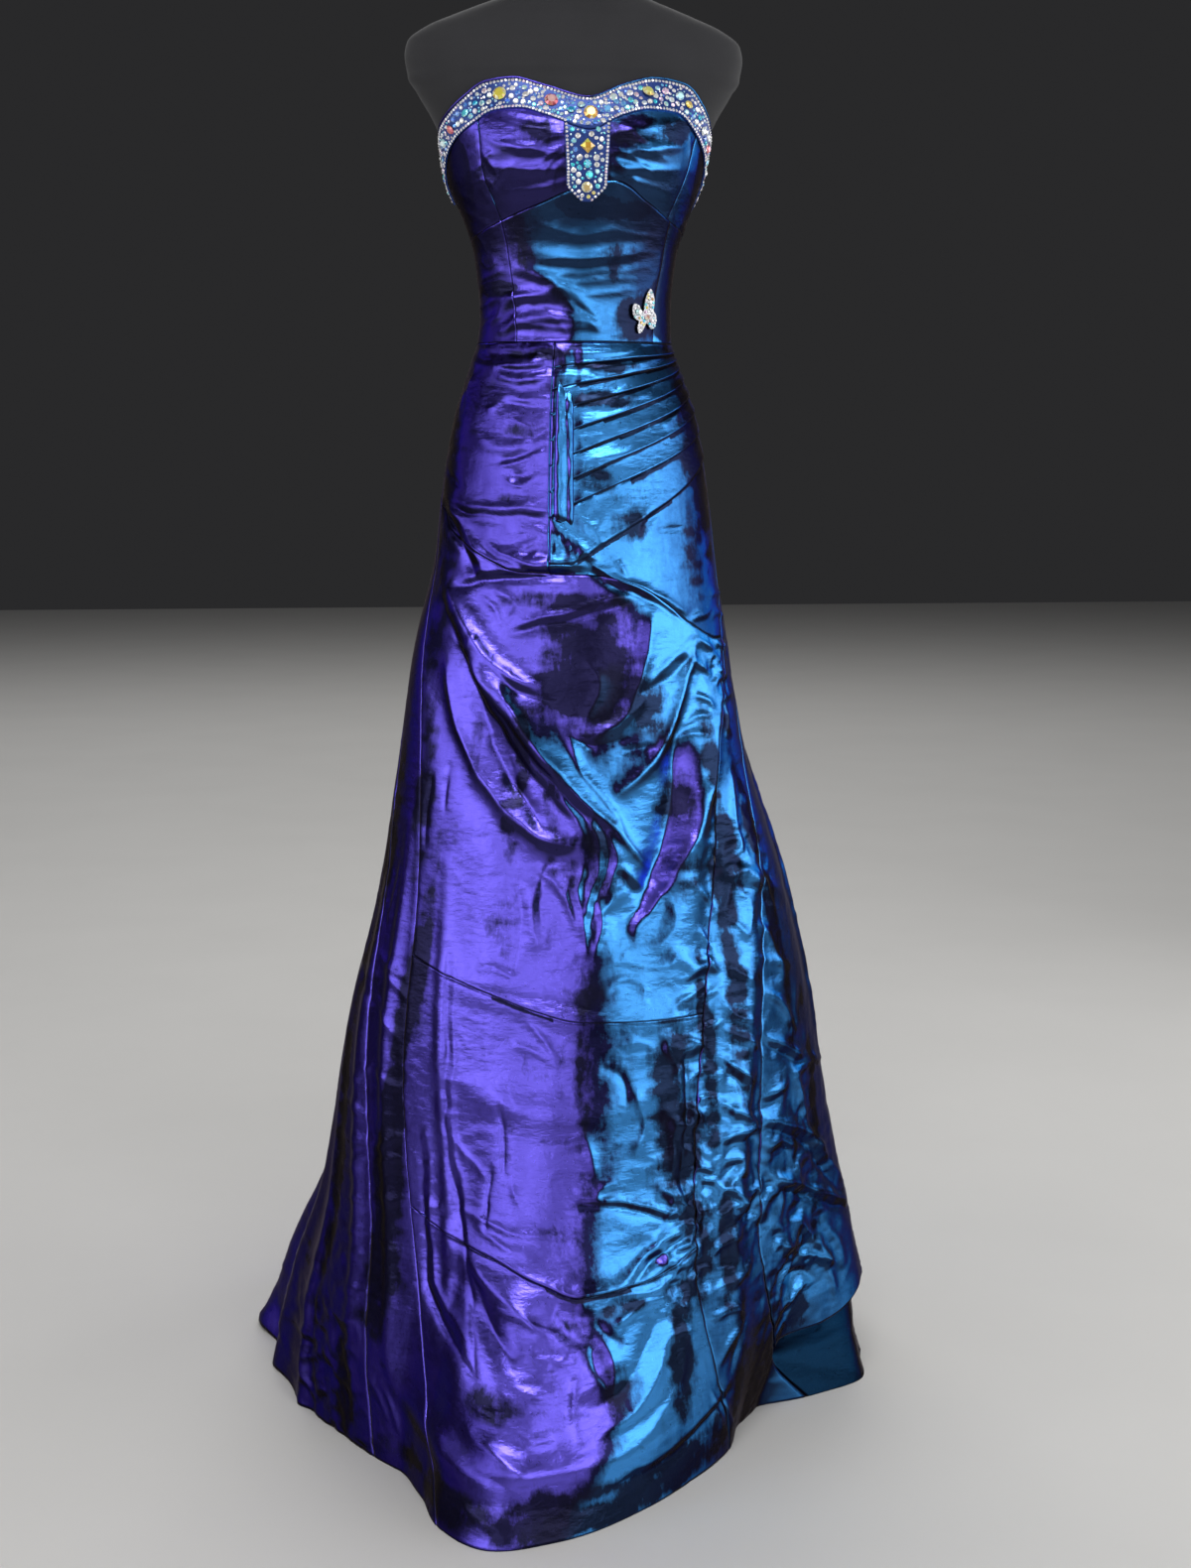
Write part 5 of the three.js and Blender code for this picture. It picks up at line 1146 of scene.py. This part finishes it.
def backingObject(name, node, trim, turn, height):  # the stiff strip that the stones sit on
    base = foldedSurface(turn, height)
    base = base + gridNormals(base) * (trim["lift"] + trim["thickness"])
    obj = shellObject(name, base, trim["thickness"], backing.material)
    fasten(obj, "beads", node)
    return obj


def seatGems(name, places, trim, seed):  # rows of turn, height, radius, rise, cut and tint
    turn, height = np.array([p[0] for p in places]), np.array([p[1] for p in places])
    points, facings = clothAt(turn, height)
    lift = trim["lift"] + trim["thickness"] - 0.2
    return setGems(name, [(points[i] + facings[i] * lift, facings[i], *p[2:])
                          for i, p in enumerate(places)], seed)


def borderTint(gems):
    return "rose" if len(gems) % 3 == 0 else "clear"


def pave(trim, width, depthAt, taken, seed, edge):  # small stones wherever there is room
    dice = np.random.default_rng(seed)
    placed, made = list(taken), []
    for size, share in trim["sizes"]:
        for _ in range(int(trim["tries"] * share)):
            x = dice.uniform(edge, width - edge)
            low, high = depthAt(x)
            y = dice.uniform(low + edge, high - edge)
            near = np.array(placed)
            if (np.hypot(near[:, 0] - x, near[:, 1] - y) < near[:, 2] + size * 0.98).any():
                continue
            placed.append((x, y, size))
            made.append((x, y, size, trim["tints"][dice.integers(len(trim["tints"]))]))
    return made


bandU, bandV = grid(480, 10)
bandTurn = mix(-beadedBand["sides"], beadedBand["sides"], bandU)
bandHeight = mix(neckHeight(bandTurn) - bandInset, bandBottom(bandTurn), bandV)
band = backingObject("necklineBand", "neckline_band", beadedBand, bandTurn, bandHeight)


def bandDepth(run):  # top and bottom of the band, down from the neckline
    turn = bandPlace(run, 0)[0]
    return bandInset, float(neckHeight(turn) - bandBottom(turn))


bandGems, taken = [], []
for turnOf, drop, radius, cut, tint in beadedBand["large"]:
    heightOf = neckHeight(np.array(turnOf)) - drop
    bandGems.append((turnOf, heightOf, radius, radius * 0.5, cut, tint))
    taken.append((np.interp(turnOf, bandTurns, bandRun), drop, radius))
radius = beadedBand["borderRadius"]
for run in np.arange(2, bandRun[-1] - 1, beadedBand["borderSpacing"]):
    turnOf, _ = bandPlace(run, 0)
    for drop in (bandDepth(run)[0] + radius, bandDepth(run)[1] - radius):
        if drop > 10 and abs(turnOf - 1) < 8.4:
            continue  # the drop joins here
        heightOf = neckHeight(turnOf) - drop
        bandGems.append((turnOf, heightOf, radius, 1.0, "small", borderTint(bandGems)))
        taken.append((run, drop, radius))
for x, y, size, tint in pave(beadedBand, bandRun[-1], bandDepth, taken, 31, 3):
    cut = "round" if size > 2 else "small"
    bandGems.append((*bandPlace(x, y), size, size * 0.5, cut, tint))
bandStones = seatGems("bandStones", bandGems, beadedBand, 41)

centreDrop = {
    "turn": 1, "gap": 0.7, "long": 72, "lift": 0.5, "thickness": 1.8, "borderRadius": 1.7,
    "borderSpacing": 3.1,
    "shape": columns("down half", [
        (0, 20), (14, 19.5), (28, 19), (42, 18.5), (54, 18.5), (64, 12), (72, 4)]),
    "large": [  # distance down, distance across, radius, cut, tint
        (16, 0, 8, "diamond", "gold"), (34, 0, 4.5, "large", "aqua"),
        (45, 2, 4.5, "large", "aqua"), (57, 0, 6, "large", "gold"),
        (28, -7, 3.6, "round", "clear"), (28, 8, 3.6, "round", "clear"),
    ],
    "tints": ["blue"] * 2 + ["aqua"] * 4 + ["clear"] * 3,
    "sizes": [(3.0, 0.2), (2.3, 0.25), (1.7, 0.3), (1.2, 0.25)], "tries": 4200,
    "halfWidth": 20, "goldBelow": 52,
}
dropStart = float(bandBottom(np.array(1.0)))
dropTop = dropStart - centreDrop["gap"]


def dropPlace(down, across):  # across in millimetres from the middle of the drop
    height = dropTop - down
    turn = centreDrop["turn"] + across * degreesPerMm(height)
    follow = np.clip(1 - 2 * down / centreDrop["long"], 0, None)
    return turn, height + (bandBottom(turn) - dropStart) * follow


def dropHalf(down):
    return along(centreDrop["shape"], "down", down, "half")


u, v = grid(30, 50)
down = centreDrop["long"] * v
drop = backingObject("centreDrop", "centre_drop", centreDrop,
                     *dropPlace(down, dropHalf(down) * (2 * u - 1)))
middle, radius = centreDrop["halfWidth"], centreDrop["borderRadius"]
dropGems, taken = [], []
for downOf, across, size, cut, tint in centreDrop["large"]:
    dropGems.append((*dropPlace(downOf, across), size, size * 0.6, cut, tint))
    taken.append((across + middle, downOf, size))
for downOf in np.arange(1.5, centreDrop["long"] - 1, centreDrop["borderSpacing"]):
    half = float(dropHalf(downOf)) - radius
    for across in (-half, half):
        dropGems.append((*dropPlace(downOf, across), radius, radius, "small",
                         borderTint(dropGems)))
        taken.append((across + middle, downOf, radius))
dropDepth = lambda x: (0, centreDrop["long"] - 2)
for x, y, size, tint in pave(centreDrop, 2 * middle, dropDepth, taken, 32, 1):
    if abs(x - middle) < float(dropHalf(y)) - 2 * radius:
        golden = y > centreDrop["goldBelow"] and size < 3 and x > middle
        dropGems.append((*dropPlace(y, x - middle), size, size * 0.42,
                         "round" if size > 2 else "small", "gold" if golden else tint))
dropStones = seatGems("dropStones", dropGems, centreDrop, 42)
print("beadwork set:", len(bandGems) + len(dropGems), "stones")

# Butterfly brooch: one outline filled with stones, in the plane that faces out at the waist
broochPin = {
    "turn": 41, "height": 1242, "lift": 2.0, "thickness": 1.4,
    "corners": [(0, -9), (-5, -17), (-10, -20), (-12, -14), (-10, -7), (-16, -4), (-19, 4),
                (-17, 11), (-11, 10), (-4, 3), (-2, 12), (1, 21), (6, 28), (10, 23), (12, 14),
                (10.5, 5), (14, 0), (14, -8), (11, -14), (6, -14), (3, -10)],
    "large": [  # across, up, radius, cut, tint
        (-11, 3, 4.2, "large", "aqua"), (1, -3, 3.6, "large", "red"),
        (5, 14, 3.2, "large", "clear"), (7.5, -6, 2.8, "round", "rose"),
    ],
    "sizes": [(1.8, 700), (1.4, 900), (1.0, 900)], "within": ((-20, 15), (-21, 29)),
    "tints": ["clear", "clear", "rose", "aqua", "gold"],
}
seat, facing = [row[0] for row in clothAt(np.array([float(broochPin["turn"])]),
                                          np.array([float(broochPin["height"])]))]
broochAcross = unit(np.cross((0.0, 0.0, 1.0), facing))
broochUp = np.cross(facing, broochAcross)
corners = broochPin["corners"]
ring = smoothPath([*corners, corners[0]], 3)[:-1]
layers = [seat + facing * lift + ring[:, :1] * broochAcross + ring[:, 1:] * broochUp
          for lift in (broochPin["lift"], broochPin["lift"] + broochPin["thickness"])]
count = len(ring)
silver = newMaterial("broochMetal")
silver.shade({"Base Color": (0.42, 0.42, 0.45, 1), "Metallic": 1.0},
             Roughness=silver.ranged(silver.noise(300.0, 2.0), 0.18, 0.36))
broochFaces = [list(range(count)), list(range(count, 2 * count))[::-1]]
broochFaces += [[count + i, count + (i + 1) % count, (i + 1) % count, i] for i in range(count)]
brooch = newObject("butterflyBrooch", np.vstack(layers), broochFaces, silver.material,
                   smooth=False)
fasten(brooch, "beads", "butterfly_brooch")


def insideOutline(x, y, margin):
    inside = False
    nearest = 1e9
    for (ax, ay), (bx, by) in zip(ring.tolist(), np.roll(ring, -1, axis=0).tolist()):
        if (ay > y) != (by > y) and x < (bx - ax) * (y - ay) / (by - ay) + ax:
            inside = not inside
        t = ((x - ax) * (bx - ax) + (y - ay) * (by - ay)) / ((bx - ax) ** 2 + (by - ay) ** 2)
        t = min(1, max(0, t))
        nearest = min(nearest, math.hypot(x - ax - t * (bx - ax), y - ay - t * (by - ay)))
    return inside and nearest > margin


def hasRoom(x, y, size):
    return all(math.hypot(x - gx, y - gy) > (gr + size) * 0.95 for gx, gy, gr, _, _ in pinGems)


dice = np.random.default_rng(51)
pinGems = list(broochPin["large"])
for size, tries in broochPin["sizes"]:
    for _ in range(tries):
        x, y = [dice.uniform(*limits) for limits in broochPin["within"]]
        if insideOutline(x, y, size * 0.6) and hasRoom(x, y, size):
            tints = broochPin["tints"]
            pinGems.append((x, y, size, "small", tints[dice.integers(len(tints))]))
top = seat + facing * (broochPin["lift"] + broochPin["thickness"] - 0.1)
setGems("broochStones", [(top + broochAcross * x + broochUp * y, facing, r, r * 0.8, cut, tint)
                         for x, y, r, cut, tint in pinGems], 43)
print("brooch pinned")

# Piping along the top edge
topPiping = {"points": 720, "below": 1.2, "out": 0.4, "radius": 1.7, "sides": 8}
pipingTurns = np.linspace(-180, 180, topPiping["points"], endpoint=False)
path, pathFacing = clothAt(pipingTurns, neckHeight(pipingTurns) - topPiping["below"])
path = path + pathFacing * topPiping["out"]
ahead = unit(np.roll(path, -1, axis=0) - np.roll(path, 1, axis=0))
side = unit(np.cross(ahead, (0.0, 0.0, 1.0)))
up = np.cross(side, ahead)
count, sides = topPiping["points"], topPiping["sides"]
angles = np.linspace(0, 2 * math.pi, sides, endpoint=False)
rings = path[:, None] + topPiping["radius"] * (np.cos(angles)[None, :, None] * side[:, None]
                                               + np.sin(angles)[None, :, None] * up[:, None])
pipingFaces = [[j * sides + i, (j + 1) % count * sides + i,
                (j + 1) % count * sides + (i + 1) % sides, j * sides + (i + 1) % sides]
               for j in range(count) for i in range(sides)]
piping = newObject("topPiping", rings.reshape(-1, 3), pipingFaces, taffeta)
fasten(piping, "cloth")

# Dress form and its stand
formTop = columns("height half front back", [
    (1500, 182, 70, 98), (1519, 185, 64, 92), (1534, 182, 58, 84), (1550, 162, 54, 76),
    (1562, 134, 52, 70), (1572, 108, 52, 66), (1581, 84, 54, 62), (1594, 66, 55, 58),
    (1612, 58, 54, 56), (1632, 56, 53, 54),
])
dressForm = {
    "rings": ((930, 1480, 70), (1484, 1632, 60)), "blend": (1482, 1500), "inside": 3.4,
    "slimmerBelow": (1200, 5), "seamDepth": 0.5, "seamWidth": 0.03, "columns": 160,
    "cap": (56, 53.5), "capRings": [(1636, 0.93), (1639, 0.7), (1640, 0.3)],
}
jersey = newMaterial("blackJersey")
loops = jersey.add("ShaderNodeBump", {"Distance": 0.0003, "Strength": 0.8},
                   Height=jersey.noise(1.0, 2.0, (900.0, 900.0, 500.0)))
jersey.shade({"Roughness": 0.88, "Sheen Weight": 0.12}, Normal=loops.outputs[0],
             Base_Color=jersey.toned(jersey.noise(14.0, 3.0), (0.010, 0.010, 0.012),
                                     (0.022, 0.022, 0.026)))


def ringFaces(rings, count):  # walls between rings of points, and a cap at each end
    faces = [[j * count + i, j * count + (i + 1) % count, (j + 1) * count + (i + 1) % count,
              (j + 1) * count + i] for j in range(rings - 1) for i in range(count)]
    return faces + [list(range(count))[::-1], [(rings - 1) * count + i for i in range(count)]]


def formRing(height):  # half width, front and back
    parts = ("half", "front", "back")
    if height >= formTop["height"][0]:
        return [along(formTop, "height", height, key) for key in parts]
    below, slimmer = dressForm["slimmerBelow"]
    inside = dressForm["inside"] + (slimmer if height < below else 0)
    right, left, front, back = [along(outline, "height", height, key)
                                for key in ("right", "left", "front", "back")]
    blend = ease(height, *dressForm["blend"])
    return [mix(size - inside, formTop[key][0], blend)
            for size, key in zip((min(right, left), front, back), parts)]


angles = np.linspace(0, 2 * math.pi, dressForm["columns"], endpoint=False)
rings = []
for height in np.concatenate([np.linspace(*run) for run in dressForm["rings"]]):
    half, front, back = formRing(float(height))
    deep = np.where(np.cos(angles) > 0, front, back)
    seam = np.exp(-(np.sin(angles) / dressForm["seamWidth"]) ** 2) * dressForm["seamDepth"]
    shrink = 1 - seam / deep
    rings.append(np.stack([half * np.sin(angles) * shrink, -deep * np.cos(angles) * shrink,
                           np.full(angles.shape, height)], 1))
capHalf, capDeep = dressForm["cap"]
for height, share in dressForm["capRings"]:
    rings.append(np.stack([capHalf * share * np.sin(angles), -capDeep * share * np.cos(angles),
                           np.full(angles.shape, height)], 1))
body = newObject("formBody", np.vstack(rings), ringFaces(len(rings), dressForm["columns"]),
                 jersey.material)
fasten(body, "form", "form_torso", "form_neck")

paint = newMaterial("standPaint")
paint.shade({"Base Color": (0.12, 0.12, 0.13, 1)},
            Roughness=paint.ranged(paint.noise(220.0, 2.0), 0.34, 0.48))
# Each part of the stand, turned round the pole: radius and height of each edge
standParts = {
    "standPole": ("form_pole", [(15, 12.3), (15, 13), (15, 929), (15, 929.7)]),
    "standBase": ("form_base", [
        (148.5, 0), (150, 1.5), (150, 8), (148, 10.6), (144, 12), (20, 12)]),
}
standSides = 72
angles = np.linspace(0, 2 * math.pi, standSides, endpoint=False)
for name, (node, profile) in standParts.items():
    rings = [np.stack([r * np.cos(angles), r * np.sin(angles), np.full(standSides, z)], 1)
             for r, z in profile]
    faces = ringFaces(len(profile), standSides)
    part = newObject(name, np.vstack(rings), faces, paint.material)
    fasten(part, "metal", node)
print("dress form stood up")

# Floor, light and camera
studio = {
    "floor": (0.70, 0.69, 0.67), "wear": 0.93, "world": 0.022, "lens": 55.05,
    "camera": (-0.283, -2.685, 1.10), "down": 8, "swing": -6.5,
}
pale = newMaterial("paleFloor")
worn = [c * studio["wear"] for c in studio["floor"]]
tones = pale.add("ShaderNodeMixRGB", {"Color1": (*studio["floor"], 1), "Color2": (*worn, 1)},
                 Fac=pale.noise(3.0, 4.0))
pale.shade({"Roughness": 0.7}, Base_Color=tones.outputs["Color"])
floorCorners = np.array([(-14, -10, 0), (14, -10, 0), (14, 14, 0), (-14, 14, 0)]) * 1000
newObject("floor", floorCorners, [[0, 1, 2, 3]], pale.material)

world = bpy.data.worlds.new("studioWorld")
world.use_nodes = True
grey = studio["world"]
world.node_tree.nodes["Background"].inputs["Color"].default_value = (grey, grey, grey * 1.05, 1)
bpy.context.scene.world = world

# Azimuth from the front, distance, height, width, tall, power, height aimed at (None: below it)
softBoxes = {
    "leftBox": (-62, 2.7, 1.5, 2.9, 1.5, 25, 1.5),
    "frontLeftBox": (-14, 3.3, 1.5, 1.7, 1.5, 12, 1.5),
    "frontRightBox": (22, 3.2, 1.5, 0.8, 1.5, 7, 1.5),
    "rightBox": (66, 2.6, 1.5, 3.4, 1.5, 33, 1.5),
    "leftRearBox": (-118, 2.8, 1.5, 1.4, 1.5, 6, 1.5),
    "rightRearBox": (118, 2.8, 1.5, 1.4, 1.5, 15, 1.5),
    "backBox": (180, 3.0, 3.3, 3.0, 1.8, 22, 0.7),
    "floorBox": (180, 5.5, 5.2, 7.0, 5.0, 190, None),
    "topBox": (0, 1.9, 3.6, 1.8, 0.8, 45, 1.4),
}
for name, (azimuth, away, height, width, tall, power, aimAt) in softBoxes.items():
    lamp = bpy.data.lights.new(name, "AREA")
    lamp.shape, lamp.size, lamp.size_y, lamp.energy = "RECTANGLE", width, tall, power
    obj = bpy.data.objects.new(name, lamp)
    bpy.context.scene.collection.objects.link(obj)
    turn = math.radians(azimuth)
    obj.location = (math.sin(turn) * away, -math.cos(turn) * away, height)
    aim = Vector((obj.location.x, obj.location.y, 0) if aimAt is None else (0, 0, aimAt))
    obj.rotation_euler = (aim - obj.location).to_track_quat("-Z", "Y").to_euler()

camera = bpy.data.cameras.new("camera")
camera.lens, camera.sensor_width = studio["lens"], 36
view = bpy.data.objects.new("camera", camera)
bpy.context.scene.collection.objects.link(view)
view.location = studio["camera"]
view.rotation_euler = (math.radians(90 - studio["down"]), 0, math.radians(studio["swing"]))
bpy.context.scene.camera = view
bpy.context.scene.view_settings.view_transform = "Standard"
print("studio lit")
